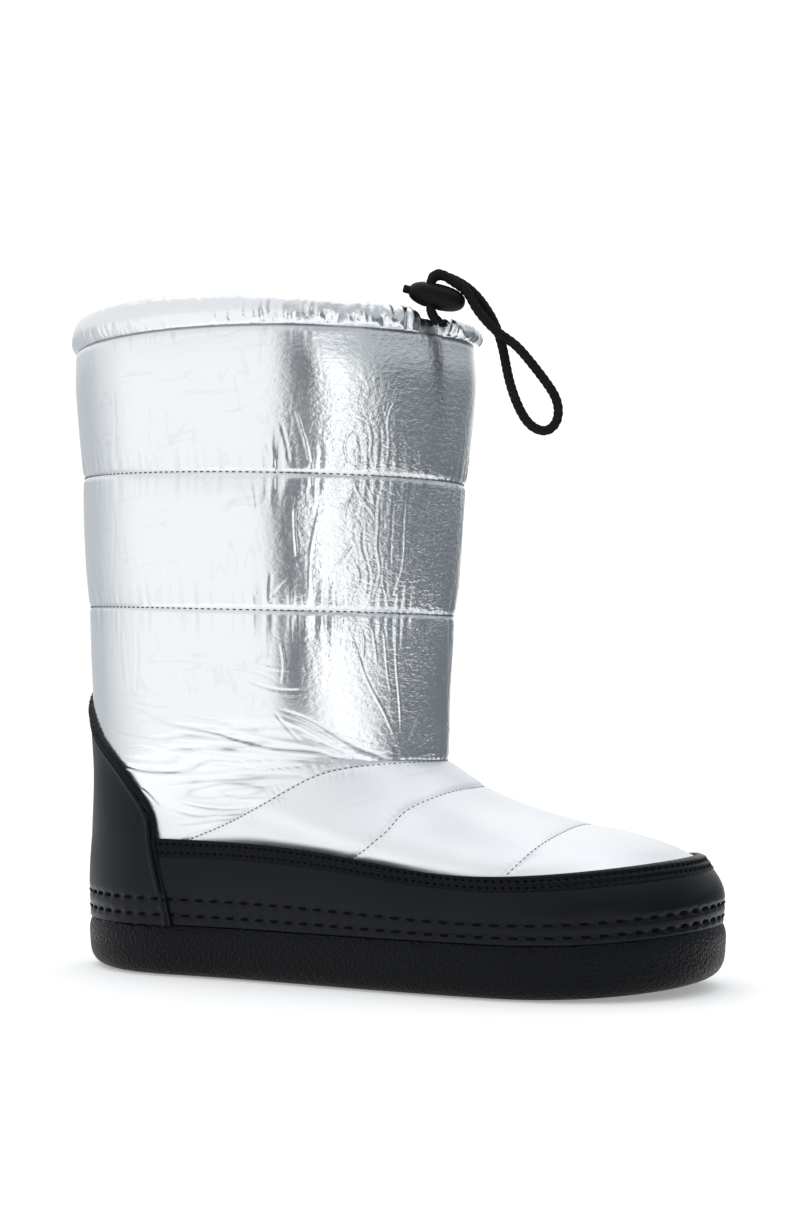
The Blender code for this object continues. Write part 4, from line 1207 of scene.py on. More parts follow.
grey_thread = thread_finish("grey thread", THREAD_GREY)
for seam_name in ("low", "high", "ankle", "rear_vamp", "front_vamp"):
    seam_line, seam_out, seam_u = seams[seam_name]
    moved = side_turn(seam_u, seam_line[:, 2]) - collar_draw(seam_u, seam_line[:, 2])
    stitch = SHAFT_STITCH if seam_name in ("low", "high") else VAMP_STITCH
    sewn = seam_line + seam_out * (moved + stitch.stand - SEAM_PULL[seam_name].depth)[:, None]
    stitches("quilting_" + seam_name, sewn, seam_out, stitch.pitch, stitch.length, stitch.radius, grey_thread,
             "silver_foil", sides=5)


# Rand. A band of smooth black leather round the foot, sewn to the upper along its top and stitched
# through twice above the sole with heavy thread.
RAND_WALL = 1.6
RAND_COLUMNS = 460
CounterRow = namedtuple("CounterRow", "height x")
COUNTER_EDGE = (
    CounterRow(SOLE_EDGE, -81),
    CounterRow(41, -85.5),
    CounterRow(58, -90.3),
    CounterRow(68, -92.5),
    CounterRow(82, -102.4),
    CounterRow(93.6, -113),
    CounterRow(103, -124),
    CounterRow(112, -131.5),
    CounterRow(118, -135.4),
    CounterRow(122, -136.8),
)
COUNTER_SEARCH = (0.002, 0.3)
LEATHER_BLACK = (0.0014, 0.0016, 0.0025)
LEATHER_WORN = (0.0028, 0.0030, 0.0042)
STITCH_LEVELS = (0.31, 0.12)
STITCH_TROUGH = 0.22
STITCH_DIMPLE = 0.75
TROUGH_WIDTH = 1.15
DIMPLE_REACH = 2.3
RAND_RISE = 30
RAND_TUCK = 0.004
RAND_SWELL = 0.5
RAND_SWELL_START = 0.3
RAND_SWELL_SPAN = 0.55
HEAVY_PITCH = 7.3
HEAVY_LENGTH = 4.2
HEAVY_RADIUS = 0.8


def counter_reach(level):
    """Share of the way round from the back to the counter's front edge, at one level of the upper."""
    u = np.linspace(*COUNTER_SEARCH, 600)
    row = base_row(u, level)
    edge = spline(column(COUNTER_EDGE, "height"), column(COUNTER_EDGE, "x"), row[:, 2])
    return float(np.interp(0, row[:, 0] - edge, u)) if row[0, 0] < edge[0] else COUNTER_SEARCH[0]


def leather_finish(name, shine):
    """Black leather, smooth and a little blue, with a share of the gloss of a polished hide."""
    made, tree, shader = new_finish(name, LEATHER_BLACK, 0.4)
    pores = pebbles(tree, (1100, 1100, 1100), 0.6)
    drawn = speckle(tree, (160, 160, 300), 4, 0.6)
    raise_bumps(tree, shader, sums(tree, pores, sums(tree, drawn, 1.2, "MULTIPLY")), 0.00007)
    cloud = speckle(tree, (30, 30, 45), 4)
    tree.links.new(even_ramp(tree, cloud, 0.3, 0.7, 0.29, 0.4), shader.inputs["Roughness"])
    tone = ramp(tree, cloud, [(0.35, LEATHER_BLACK), (0.72, LEATHER_WORN)])
    tree.links.new(tone, shader.inputs["Base Color"])
    shader.inputs["Specular IOR Level"].default_value = shine
    shader.inputs["Specular Tint"].default_value = COOL_SHINE
    return made


def lifted(u, level, lift):
    """A row of points on the upper's base at one level, moved out by lift."""
    levels = np.array([float(level)])
    return base_grid(u, levels)[0] + upper_normals(u, levels)[0] * np.asarray(lift)[..., None]


def band_along(name, u_of, section, finish, relief):
    """A strip that follows the upper: u_of gives the columns at a level, and section its shape across."""
    rows = []
    for level, lift in section:
        u = u_of(level)
        rows.append(lifted(u, level, np.full(len(u), lift) + relief(u, level)))
    points = np.concatenate(rows)
    columns = len(rows[0])
    faces = grid_quads(len(rows), columns, False)
    last = (len(rows) - 1) * columns
    for i in range(columns - 1):
        faces.append([last + i, last + i + 1, i + 1, i])
    faces.append([r * columns for r in range(len(rows))][::-1])
    faces.append([r * columns + columns - 1 for r in range(len(rows))])
    return add_piece(name, points, faces, finish, "black_leather")


def rand_columns(level):
    reach = counter_reach(max(level, 0)) - RAND_TUCK
    return np.linspace(reach, 1 - reach, RAND_COLUMNS)


def stitch_line(level):
    """A row of heavy stitching right round the foot: places round it and the run up to each."""
    u = np.linspace(0, 1, 900)
    return u, run_lengths(base_grid(u, np.array([level]))[0])


stitch_runs = {level: stitch_line(level) for level in STITCH_LEVELS}


def stitch_dents(u, level):
    """How far the heavy stitches draw the leather in: a shallow trough with a dimple under each stitch."""
    dent = np.zeros(len(u))
    for row, (spots, run) in stitch_runs.items():
        beat = np.interp(np.mod(u, 1), spots, run) / HEAVY_PITCH
        from_stitch = (beat - np.floor(beat) - 0.5) * HEAVY_PITCH
        across = math.exp(-(((level - row) * RAND_RISE / TROUGH_WIDTH) ** 2))
        dent += across * (STITCH_TROUGH + STITCH_DIMPLE * np.exp(-((from_stitch / DIMPLE_REACH) ** 4)))
    return dent


def rand_relief(u, level):
    """The leather is drawn in by both rows of heavy stitches and swells a little above them."""
    share = min(max((level - RAND_SWELL_START) / RAND_SWELL_SPAN, 0), 1)
    return RAND_SWELL * math.sin(math.pi * share) - stitch_dents(u, level)


black_leather = leather_finish("black leather", 0.2)
rand_outer = GAP + RAND_WALL
rand_section = [(0.0, GAP), (0.0, rand_outer - 0.5), (0.012, rand_outer - 0.1)]
rand_section += [(level, rand_outer) for level in np.linspace(0.03, 0.42, 24)]
rand_section += [(level, rand_outer) for level in np.linspace(0.45, 0.94, 18)]
rand_section += [(0.955, rand_outer - 0.2), (0.96, GAP)]
rand = band_along("rand_leather", rand_columns, rand_section, black_leather, rand_relief)
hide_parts("rand")


# Binding. A narrow folded strip of the same leather over the rand's top edge, sewn down with two rows of
# small stitches that dent it.
BINDING_LOW = 0.80
BINDING_STAND = 0.75
BINDING_STITCH_LEVELS = (0.855, 0.955)
BINDING_PITCH = 3.2
BINDING_COLUMNS = 1150
BINDING_LENGTH = 1.9
BINDING_RADIUS = 0.4
BINDING_SINK = 0.72
BINDING_RISE = 28
BINDING_TROUGH = 0.2
BINDING_DIMPLE = 0.75
BINDING_DENT_WIDTH = 0.8
THREAD_BLACK = (0.0016, 0.0016, 0.0018)
binding_face = rand_outer + BINDING_STAND
matt_leather = leather_finish("matt black leather", 0.12)


def binding_columns(level):
    edges = rand_columns(level)
    return np.linspace(edges[0], edges[-1], BINDING_COLUMNS)


binding_runs = [run_lengths(base_grid(binding_columns(row), np.array([row]))[0]) for row in BINDING_STITCH_LEVELS]


def binding_relief(u, level):
    """A dent under every small stitch; the leather stands up between them."""
    dent = np.zeros(len(u))
    for row, run in zip(BINDING_STITCH_LEVELS, binding_runs):
        beat = run / BINDING_PITCH
        from_stitch = (beat - np.floor(beat) - 0.5) * BINDING_PITCH
        across = math.exp(-(((level - row) * BINDING_RISE / BINDING_DENT_WIDTH) ** 2))
        dent += across * (BINDING_TROUGH + BINDING_DIMPLE * np.exp(-(from_stitch**2)))
    return -dent


binding_section = [(BINDING_LOW, rand_outer - 0.4), (BINDING_LOW, rand_outer + 0.35)]
binding_section += [(BINDING_LOW + 0.012, binding_face - 0.1)]
binding_section += [(level, binding_face) for level in np.linspace(BINDING_LOW + 0.03, 0.985, 17)]
binding_section += [(1.0, binding_face - 0.15), (1.012, binding_face - 0.6), (1.016, rand_outer - 0.6), (1.012, 0.2)]
band_along("rand_binding", binding_columns, binding_section, matt_leather, binding_relief)

black_thread = thread_finish("black thread", THREAD_BLACK)
for row_name, level in zip(("low", "high"), BINDING_STITCH_LEVELS):
    row_u = binding_columns(level)
    row_levels = np.array([level])
    row_out = upper_normals(row_u, row_levels)[0]
    row_line = base_grid(row_u, row_levels)[0] + row_out * (binding_face - BINDING_SINK)
    stitches("binding_stitches_" + row_name, row_line, row_out, BINDING_PITCH, BINDING_LENGTH, BINDING_RADIUS,
             black_thread, "black_leather", sides=5)


# Heel counter. A stiff piece of the same leather that wraps the heel and rises to a point at the back,
# with a corded double edge where it is turned in and sewn to the shell.
COUNTER_STAND = RAND_WALL + 1.05
COUNTER_BACK = 0.4
COUNTER_CROWDING = 1.35
COUNTER_TURN_IN = 1.1
COUNTER_TURN_WIDTH = 0.55
COUNTER_CORNER = 60
COUNTER_STITCH_SINK = 0.55
COUNTER_PITCH = 2.9
COUNTER_LENGTH = 2.2
COUNTER_RADIUS = 0.4
COUNTER_COLUMNS = 120
COUNTER_TOP_LEVEL = 2.116
EdgeRoll = namedtuple("EdgeRoll", "back height width")
COUNTER_GROOVE = 2.3
COUNTER_ROLLS = (EdgeRoll(1.0, 0.9, 0.8), EdgeRoll(COUNTER_GROOVE, -0.7, 0.6), EdgeRoll(3.6, 0.65, 0.85))


edge_levels = np.linspace(0, COUNTER_TOP_LEVEL, 220)
edge_reach = np.array([counter_reach(level) for level in edge_levels])
counter_levels = np.concatenate([np.linspace(0, 1.9, 90), np.linspace(1.905, COUNTER_TOP_LEVEL, 40)])
counter_reaches = np.interp(counter_levels, edge_levels, edge_reach)
counter_spread = np.linspace(-1, 1, COUNTER_COLUMNS)
counter_spread = np.sign(counter_spread) * (1 - (1 - np.abs(counter_spread)) ** COUNTER_CROWDING)
counter_edge_points = np.concatenate([
    np.array([lifted(np.array([side * r]), level, [COUNTER_STAND])[0]
              for level, r in zip(edge_levels, edge_reach)]) for side in (1, -1)])
edge_tree = search_tree(counter_edge_points)
counter_out_rows, counter_in_rows = [], []
for level, reach in zip(counter_levels, counter_reaches):
    u = reach * counter_spread
    face = lifted(u, level, np.full(COUNTER_COLUMNS, COUNTER_STAND))
    out = upper_normals(u, np.array([level]))[0]
    gap = np.array([edge_tree.find(point)[2] for point in face])
    rolls = sum(roll.height * np.exp(-(((gap - roll.back) / roll.width) ** 2)) for roll in COUNTER_ROLLS)
    turned_in = COUNTER_TURN_IN * np.exp(-((gap / COUNTER_TURN_WIDTH) ** 2))
    counter_out_rows.append(face + out * (rolls - turned_in - stitch_dents(u, level))[:, None])
    counter_in_rows.append(lifted(u, level, np.full(COUNTER_COLUMNS, COUNTER_BACK)))
counter_points = np.concatenate(counter_out_rows + counter_in_rows)
rows_count = len(counter_levels)
half_count = rows_count * COUNTER_COLUMNS
counter_faces = grid_quads(rows_count, COUNTER_COLUMNS, False)
counter_faces += [quad[::-1] for quad in grid_quads(rows_count, COUNTER_COLUMNS, False, half_count)]
for i in range(COUNTER_COLUMNS - 1):
    top = (rows_count - 1) * COUNTER_COLUMNS + i
    counter_faces.append([i, i + 1, half_count + i + 1, half_count + i][::-1])
    counter_faces.append([top, top + 1, half_count + top + 1, half_count + top])
for r in range(rows_count - 1):
    for c in (0, COUNTER_COLUMNS - 1):
        a, b = r * COUNTER_COLUMNS + c, (r + 1) * COUNTER_COLUMNS + c
        counter_faces.append([a, b, half_count + b, half_count + a])
counter = add_piece("counter_leather", counter_points, counter_faces, black_leather, "black_leather",
                    corner=COUNTER_CORNER)
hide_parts("heel_counter")
for side_name, side in (("outer", 1), ("inner", -1)):
    keep = (edge_levels > 0.03) & (edge_levels < COUNTER_TOP_LEVEL - 0.04)
    edge_line, edge_out = on_upper(side * edge_reach[keep], edge_levels[keep],
                                   COUNTER_STAND - COUNTER_STITCH_SINK)
    edge_run = np.gradient(edge_line, axis=0)
    edge_run /= np.linalg.norm(edge_run, axis=1, keepdims=True)
    edge_line = edge_line + side * COUNTER_GROOVE * np.cross(edge_out, edge_run)
    stitches("counter_stitches_" + side_name, edge_line, edge_out, COUNTER_PITCH, COUNTER_LENGTH, COUNTER_RADIUS,
             black_thread, "black_leather", sides=5)


# Sole stitching. Two rows of heavy black thread through the rand and the counter just above the sole,
# each stitch pulled down into the leather.
HEAVY_SINK = 0.3
for row_name, level in zip(("upper", "lower"), STITCH_LEVELS):
    row_u = stitch_runs[level][0]
    on_counter = np.minimum(row_u, 1 - row_u) < counter_reach(level)
    row_out = upper_normals(row_u, np.array([level]))[0]
    stand = np.where(on_counter, COUNTER_STAND, rand_outer) - STITCH_TROUGH - HEAVY_SINK
    row_line = lifted(row_u, level, stand)
    stitches("sole_stitches_" + row_name, row_line, row_out, HEAVY_PITCH, HEAVY_LENGTH, HEAVY_RADIUS, black_thread,
             "black_leather", sides=8)


# Collar. A rolled tunnel of the foil cloth round the top of the shaft, gathered by the drawcord inside
# it, with a slit on the outer front where the cord comes out.
TunnelRow = namedtuple("TunnelRow", "out up")
TUNNEL_SECTION = (
    TunnelRow(-0.6, 0.02),
    TunnelRow(0.9, 0.25),
    TunnelRow(0.8, 0.6),
    TunnelRow(-0.8, 0.88),
    TunnelRow(-3.6, 1),
    TunnelRow(-6.4, 0.85),
    TunnelRow(-7.2, 0.45),
    TunnelRow(-6.2, 0.02),
)
TUNNEL_BACK_HEIGHT = 14.2
TUNNEL_FRONT_HEIGHT = 8
TUNNEL_DROP = 5
TUNNEL_COLUMNS = 1000
TUNNEL_ROWS = 40
TUNNEL_TUCK = 0.15
TUNNEL_CRUSH = 0.5
TUNNEL_SATIN = 0.1
SLIT_ROUND = 0.5 - 21 / 360
SLIT_HALF = 4.6
SLIT_WIDE = 6.6
SLIT_BACK = -4.6


SLIT_FADE_FRONT = 2.2
SLIT_FADE_BACK = 2.4
SLIT_REACH = 17
SLIT_GATHER = 1.4
SLIT_SINK = 0.25
SECTION_RISE = 12
SECTION_MIDDLE = -3.6
INNER_SEED = 9.0
GATHER_REACH = 62
GATHER_EVEN = 0.4
GATHER_FRONT = 0.6
GATHER_LOW = 0.3
GATHER_RISE = 0.4
PILE_LENGTH = 24
PILE_UP = 0.08
SLANT = 1.1
SLANT_LENGTH = 19
CollarFold = namedtuple("CollarFold", "height length slant lean rise seed")
COLLAR_FOLDS = (
    CollarFold(0.8, 5.6, 1, 0.5, 0.9, 3.3),
    CollarFold(0.5, 2.6, -1, 0, 1.6, 6.1),
    CollarFold(0.16, 1.5, 1, 0, 0.8, 8.8),
)
SlitFold = namedtuple("SlitFold", "height length start")
SLIT_FOLDS = (SlitFold(1.0, 5.6, 1.6), SlitFold(0.5, 3.4, 0.0))


def collar_fold(run, up, seed):
    """Uneven folds of the gathered cloth, slanting and of every length."""
    slant = SLANT * noise_at(run / SLANT_LENGTH, up, seed)
    return sum(fold.height * noise_at(run / fold.length + fold.slant * slant + fold.lean * up, fold.rise * up,
                                      seed + fold.seed) for fold in COLLAR_FOLDS)


def tunnel_points():
    """The roll as rows of points round the boot, one for each place of its section, the first again at the end."""
    u = np.arange(TUNNEL_COLUMNS) / TUNNEL_COLUMNS
    ring = ring_loop(u, COLLAR_SEAM)
    run = np.roll(ring, -1, axis=0) - np.roll(ring, 1, axis=0)
    outward = np.stack([run[:, 1], -run[:, 0]], axis=1)
    outward /= np.linalg.norm(outward, axis=1, keepdims=True)
    height = TUNNEL_BACK_HEIGHT + front_share(u) ** TUNNEL_DROP * (TUNNEL_FRONT_HEIGHT - TUNNEL_BACK_HEIGHT)
    shape = np.array(TUNNEL_SECTION, float)
    closed = np.concatenate([shape, shape[:1]])
    along = run_lengths(closed * np.array([1, SECTION_RISE]))
    section = spline(along, closed, np.linspace(0, along[-1], TUNNEL_ROWS + 1)[:-1])
    round_run = run_lengths(ring)
    from_slit = round_run - np.interp(SLIT_ROUND, u, round_run)
    near_slit = np.exp(-((from_slit / SLIT_REACH) ** 2))
    notch = smooth_step(SLIT_HALF + SLIT_FADE_FRONT, SLIT_HALF, from_slit)
    notch = notch * smooth_step(-SLIT_WIDE - SLIT_FADE_BACK, -SLIT_WIDE, from_slit)
    front = np.exp(-((from_slit / GATHER_REACH) ** 2))
    deep = sum(fold.height * np.cos(2 * np.pi * from_slit / fold.length + fold.start) for fold in SLIT_FOLDS)
    pile_up = np.array([noise_at(s / PILE_LENGTH, 0.4, 2.0) for s in round_run])
    sag = collar_sag(u)
    rows = []
    for out, up in section:
        low = 1 - smooth_step(0.2, 1.0, up)
        seed = 0.0 if out > SECTION_MIDDLE else INNER_SEED
        folds = np.array([collar_fold(s, up, seed) for s in round_run])
        gather = (GATHER_EVEN + GATHER_FRONT * front + GATHER_LOW * low) * folds
        gather += SLIT_GATHER * near_slit * (0.4 + 0.6 * low) * deep
        gather *= smooth_step(0.0, 0.12, up)
        inward = np.minimum(out, SLIT_BACK)
        across = out + notch * (inward - out) + gather * (1 - notch)
        rise = up * height * (1 + PILE_UP * pile_up) + GATHER_RISE * gather * smooth_step(0.6, 1, up)
        rise *= 1 - SLIT_SINK * notch
        loop = ring.copy()
        loop[:, :2] += outward * across[:, None]
        loop[:, 2] += rise - sag - TUNNEL_TUCK
        rows.append(loop)
    return np.concatenate(rows + rows[:1])


tunnel = add_piece("collar_roll", tunnel_points(), grid_quads(TUNNEL_ROWS + 1, TUNNEL_COLUMNS, True), silver_foil,
                   "silver_foil")
bm = bmesh.new()
bm.from_mesh(tunnel.data)
bmesh.ops.remove_doubles(bm, verts=bm.verts, dist=1e-7)
bm.to_mesh(tunnel.data)
bm.free()
for mark, share in (("crush", TUNNEL_CRUSH), ("satin", TUNNEL_SATIN)):
    add_mark(tunnel, mark, np.full(len(tunnel.data.vertices), share))
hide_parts("collar_tunnel")


# Drawcord. A round braid of black yarn, doubled: both ends run in the tunnel, come up through the lock
# and hang over the front in a loop that crosses itself.
CORD_DIAMETER = 4
LOCK_CENTRE = Vector((33.1, -25.2, 285.2))
LOCK_TURN = math.radians(22)
CORD_STEPS = 900
CORD_SIDES = 24
BRAID_PITCH = 5.2
BRAID_STRANDS = 4
BRAID_MIDDLE = 0.955
BRAID_RISE = 0.065
BRAID_START = (0.3, 0.9, 0.1)
BRAID_BLACK = (0.004, 0.004, 0.0042)
YARN_DARK = (0.0025, 0.0025, 0.0027)
YARN_LIGHT = (0.008, 0.008, 0.0085)
CordPoint = namedtuple("CordPoint", "along up out")
CORD_ROUTE = (
    CordPoint(0.2, -10.6, 1.0),
    CordPoint(-0.9, -9.2, 1.6),
    CordPoint(-2.0, -7.2, 2.2),
    CordPoint(-2.4, -4.6, 2.3),
    CordPoint(-2.4, 0.0, 2.3),
    CordPoint(-2.4, 4.8, 2.3),
    CordPoint(-1.9, 7.2, 2.4),
    CordPoint(-0.2, 8.8, 2.4),
    CordPoint(2.2, 8.7, 2.4),
    CordPoint(4.7, 7.2, 2.4),
    CordPoint(8.1, 4.9, 2.4),
    CordPoint(11.9, 2.0, 2.4),
    CordPoint(15.8, -4.3, 2.3),
    CordPoint(20.0, -9.9, 2.3),
    CordPoint(25.9, -15.6, 2.4),
    CordPoint(31.8, -19.8, 2.0),
    CordPoint(36.4, -24.4, 1.2),
    CordPoint(41.2, -30.2, 0.6),
    CordPoint(45.9, -36.4, 0.2),
    CordPoint(49.3, -42.4, 0.0),
    CordPoint(50.2, -47.8, 0.0),
    CordPoint(48.9, -52.4, 0.0),
    CordPoint(45.4, -55.2, 0.0),
    CordPoint(41.0, -54.5, 0.0),
    CordPoint(37.0, -51.0, -0.1),
    CordPoint(33.8, -45.4, -0.3),
    CordPoint(31.4, -39.2, -0.7),
    CordPoint(29.7, -33.0, -1.2),
    CordPoint(28.5, -26.9, -1.8),
    CordPoint(27.4, -21.2, -2.3),
    CordPoint(25.7, -15.2, -2.4),
    CordPoint(23.1, -9.0, -2.3),
    CordPoint(19.7, -3.4, -2.3),
    CordPoint(15.6, 1.6, -2.3),
    CordPoint(11.6, 4.9, -2.3),
    CordPoint(7.8, 7.1, -2.3),
    CordPoint(4.0, 8.6, -2.3),
    CordPoint(0.6, 9.0, -2.4),
    CordPoint(-1.6, 7.6, -2.4),
    CordPoint(-2.4, 4.8, -2.3),
    CordPoint(-2.4, 0.0, -2.3),
    CordPoint(-2.4, -4.6, -2.3),
    CordPoint(-1.7, -7.0, -2.6),
    CordPoint(-0.3, -8.8, -3.0),
    CordPoint(1.0, -10.2, -3.4),
)


def braid_finish():
    made, tree, shader = new_finish("black braid", BRAID_BLACK, 0.72)
    yarn = speckle(tree, (1800, 1800, 1800), 3)
    raise_bumps(tree, shader, yarn, 0.0004)
    tone = ramp(tree, yarn, [(0.35, YARN_DARK), (0.7, YARN_LIGHT)])
    tree.links.new(tone, shader.inputs["Base Color"])
    shader.inputs["Specular IOR Level"].default_value = 0.2
    return made


def cord_centre():
    """The cord's middle line, on the boot."""
    cos, sin = math.cos(LOCK_TURN), math.sin(LOCK_TURN)
    route = np.array([(p.along * cos + p.out * sin, p.along * sin - p.out * cos, p.up) for p in CORD_ROUTE])
    route += np.array(LOCK_CENTRE)
    along = run_lengths(route)
    fine = spline(along, route, np.linspace(0, along[-1], 4 * CORD_STEPS))
    length = run_lengths(fine)
    even = np.linspace(0, length[-1], CORD_STEPS)
    return np.stack([np.interp(even, length, fine[:, k]) for k in range(3)], axis=1), length[-1]


def braided_tube(line, length):
    """A tube with the raised lozenges of a braid, twisted along a line without turning on itself."""
    run = np.gradient(line, axis=0)
    run /= np.linalg.norm(run, axis=1, keepdims=True)
    side = np.zeros_like(line)
    side[0] = np.cross(run[0], BRAID_START)
    side[0] /= np.linalg.norm(side[0])
    for i in range(1, len(line)):
        carried = side[i - 1] - run[i] * np.dot(side[i - 1], run[i])
        side[i] = carried / np.linalg.norm(carried)
    other = np.cross(run, side)
    turn = np.arange(CORD_SIDES) * 2 * np.pi / CORD_SIDES
    along = np.linspace(0, length, len(line))[:, None]
    left = np.cos(BRAID_STRANDS * turn[None] + 2 * np.pi * along / BRAID_PITCH * 2)
    right = np.cos(BRAID_STRANDS * turn[None] - 2 * np.pi * along / BRAID_PITCH * 2)
    radius = CORD_DIAMETER / 2 * (BRAID_MIDDLE + BRAID_RISE * np.maximum(left, right))
    spread = np.cos(turn)[None, :, None] * side[:, None] + np.sin(turn)[None, :, None] * other[:, None]
    points = (line[:, None] + radius[..., None] * spread).reshape(-1, 3)
    faces = grid_quads(len(line), CORD_SIDES, True)
    faces.append(list(range(CORD_SIDES))[::-1])
    faces.append(list(range((len(line) - 1) * CORD_SIDES, len(line) * CORD_SIDES)))
    return points, faces


cord_line, cord_length = cord_centre()
drawcord = add_piece("drawcord_braid", *braided_tube(cord_line, cord_length), braid_finish(), "black_braid")
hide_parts("drawcord")


# Cord lock. A matt black moulded bead with a sprung button in one end; both strands pass through it and
# are gripped until the button is pressed.
LOCK_TILT = math.radians(14)
LOCK_LENGTH = 24
LOCK_HEIGHT = 10.5
LOCK_OVAL = 1.4
LOCK_FULLNESS = 2.4
LOCK_SIDES = 64
LOCK_STEPS = 48
BUTTON_RADIUS = 1.7
BUTTON_OUT = 2.3
BUTTON_IN = 2.4
BUTTON_TRAVEL = 2
BUTTON_ROUND = 0.6
BORE_SPARE = 1
CORD_HOLE_ALONG = -2.4
CORD_HOLE_SLACK = 0.5
SLOT_STEPS = 16
BORE_REACH = 5
BUTTON_STEPS = 6
LOCK_CORNER = 40
PLASTIC_BLACK = (0.0022, 0.0022, 0.0026)
PLASTIC_LIGHT = (0.004, 0.004, 0.0046)
LOCK_UPRIGHT = Matrix.Translation(LOCK_CENTRE) @ Matrix.Rotation(LOCK_TURN, 4, "Z")


def plastic_finish():
    made, tree, shader = new_finish("matt plastic", PLASTIC_BLACK, 0.42)
    spark = speckle(tree, (2600, 2600, 2600), 2)
    raise_bumps(tree, shader, spark, 0.00012)
    cloud = speckle(tree, (180, 180, 180), 3)
    tree.links.new(even_ramp(tree, cloud, 0.3, 0.7, 0.36, 0.5), shader.inputs["Roughness"])
    tone = ramp(tree, cloud, [(0.3, PLASTIC_BLACK), (0.75, PLASTIC_LIGHT)])
    tree.links.new(tone, shader.inputs["Base Color"])
    shader.inputs["Specular IOR Level"].default_value = 0.15
    return made


def lock_space(points):
    """Points in the lock's own frame, X along the bead, put on the boot."""
    tilted = LOCK_UPRIGHT @ Matrix.Rotation(LOCK_TILT, 4, "Y")
    return np.array([tilted @ Vector(point) for point in points])


def turned(profile, oval):
    """Corners and faces of a solid turned about X; the profile starts and ends on the axis."""
    turn = np.arange(LOCK_SIDES) * 2 * np.pi / LOCK_SIDES
    points = [(profile[0][0], 0, 0)]
    for x, radius in profile[1:-1]:
        points += [(x, oval * radius * math.sin(a), radius * math.cos(a)) for a in turn]
    points.append((profile[-1][0], 0, 0))
    rings = len(profile) - 2
    faces = [[k + 1 for k in quad] for quad in grid_quads(rings, LOCK_SIDES, True)]
    last = 1 + (rings - 1) * LOCK_SIDES
    for i in range(LOCK_SIDES):
        j = (i + 1) % LOCK_SIDES
        faces.append([0, 1 + j, 1 + i])
        faces.append([len(points) - 1, last + i, last + j])
    return points, faces


def bead_profile():
    half = LOCK_LENGTH / 2
    shape = [(-half, 0)]
    for k in range(1, LOCK_STEPS):
        x = -half * math.cos(math.pi * k / LOCK_STEPS)
        shape.append((x, LOCK_HEIGHT / 2 * (1 - abs(x / half) ** LOCK_FULLNESS) ** (1 / LOCK_FULLNESS)))
    return shape + [(half, 0)]


def hidden_cutter(name, points, faces):
    mesh = bpy.data.meshes.new(name)
    mesh.from_pydata((np.asarray(points) * MM).tolist(), [], faces)
    turn_faces_out(mesh)
    return put_in_scene(name, mesh)


def strand_slot():
    """The upright hole for both strands."""
    apart = CORD_DIAMETER / 2 + GAP
    radius = CORD_DIAMETER / 2 + CORD_HOLE_SLACK
    arc = [math.pi * k / SLOT_STEPS for k in range(SLOT_STEPS + 1)]
    rim = [(radius * math.cos(a), apart + radius * math.sin(a)) for a in arc]
    rim += [(-x, -y) for x, y in rim]
    points = [LOCK_UPRIGHT @ Vector((CORD_HOLE_ALONG + x, y, z)) for z in (-LOCK_HEIGHT, LOCK_HEIGHT)
              for x, y in rim]
    count = len(rim)
    faces = grid_quads(2, count, True) + [list(range(count))[::-1], list(range(count, 2 * count))]
    return hidden_cutter("strand_slot", np.array(points), faces)


def button_bore():
    half = LOCK_LENGTH / 2
    floor_at = -half + BUTTON_IN + BUTTON_TRAVEL + BORE_SPARE
    bore = BUTTON_RADIUS + GAP
    mouth_at = -half - BORE_REACH
    points, faces = turned([(mouth_at, 0), (mouth_at, bore), (floor_at, bore), (floor_at, 0)], 1.0)
    return hidden_cutter("button_bore", lock_space(points), faces)


matt_plastic = plastic_finish()
bead_points, bead_faces = turned(bead_profile(), LOCK_OVAL)
bead = add_piece("lock_bead", lock_space(bead_points), bead_faces, matt_plastic, "black_plastic")
cut_away(bead, strand_slot())
cut_away(bead, button_bore())
smooth_over(bead.data, LOCK_CORNER)
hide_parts("cord_lock")

button_end = -LOCK_LENGTH / 2
button_profile = [(button_end - BUTTON_OUT, 0), (button_end - BUTTON_OUT, BUTTON_RADIUS - BUTTON_ROUND)]
for k in range(1, BUTTON_STEPS + 1):
    a = math.pi / 2 * k / BUTTON_STEPS
    button_profile.append((button_end - BUTTON_OUT + BUTTON_ROUND * (1 - math.cos(a)),
                           BUTTON_RADIUS - BUTTON_ROUND * (1 - math.sin(a))))
button_profile += [(button_end + BUTTON_IN, BUTTON_RADIUS), (button_end + BUTTON_IN, 0)]
button_points, button_faces = turned(button_profile, 1.0)
button = add_piece("lock_button", lock_space(button_points), button_faces, matt_plastic, "black_plastic",
                   body="lock_button", corner=LOCK_CORNER)
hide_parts("cord_lock_button")


# Studio. A pale round floor in a plain room whose panels and walls light the boot from the left, the
# right and overhead, one soft lamp above, and a camera level with the middle of the boot.
CAMERA_TURN = math.radians(22)
CAMERA_DISTANCE = 0.970
CAMERA_AIM_X = 0.003
CAMERA_HEIGHT = 0.131
LENS = 67.44
SENSOR = 36
SHIFT = (0.0066, 0.0542)
FLOOR_RADIUS = 0.36
FLOOR_SIDES = 96
FLOOR_PALE = (0.94, 0.937, 0.93)
FLOOR_GLOW = 0.3
LAMP_SPOT = Vector((-0.1, 0.1, 1.6))
LAMP_SIZE = 1.8
LAMP_POWER = 3

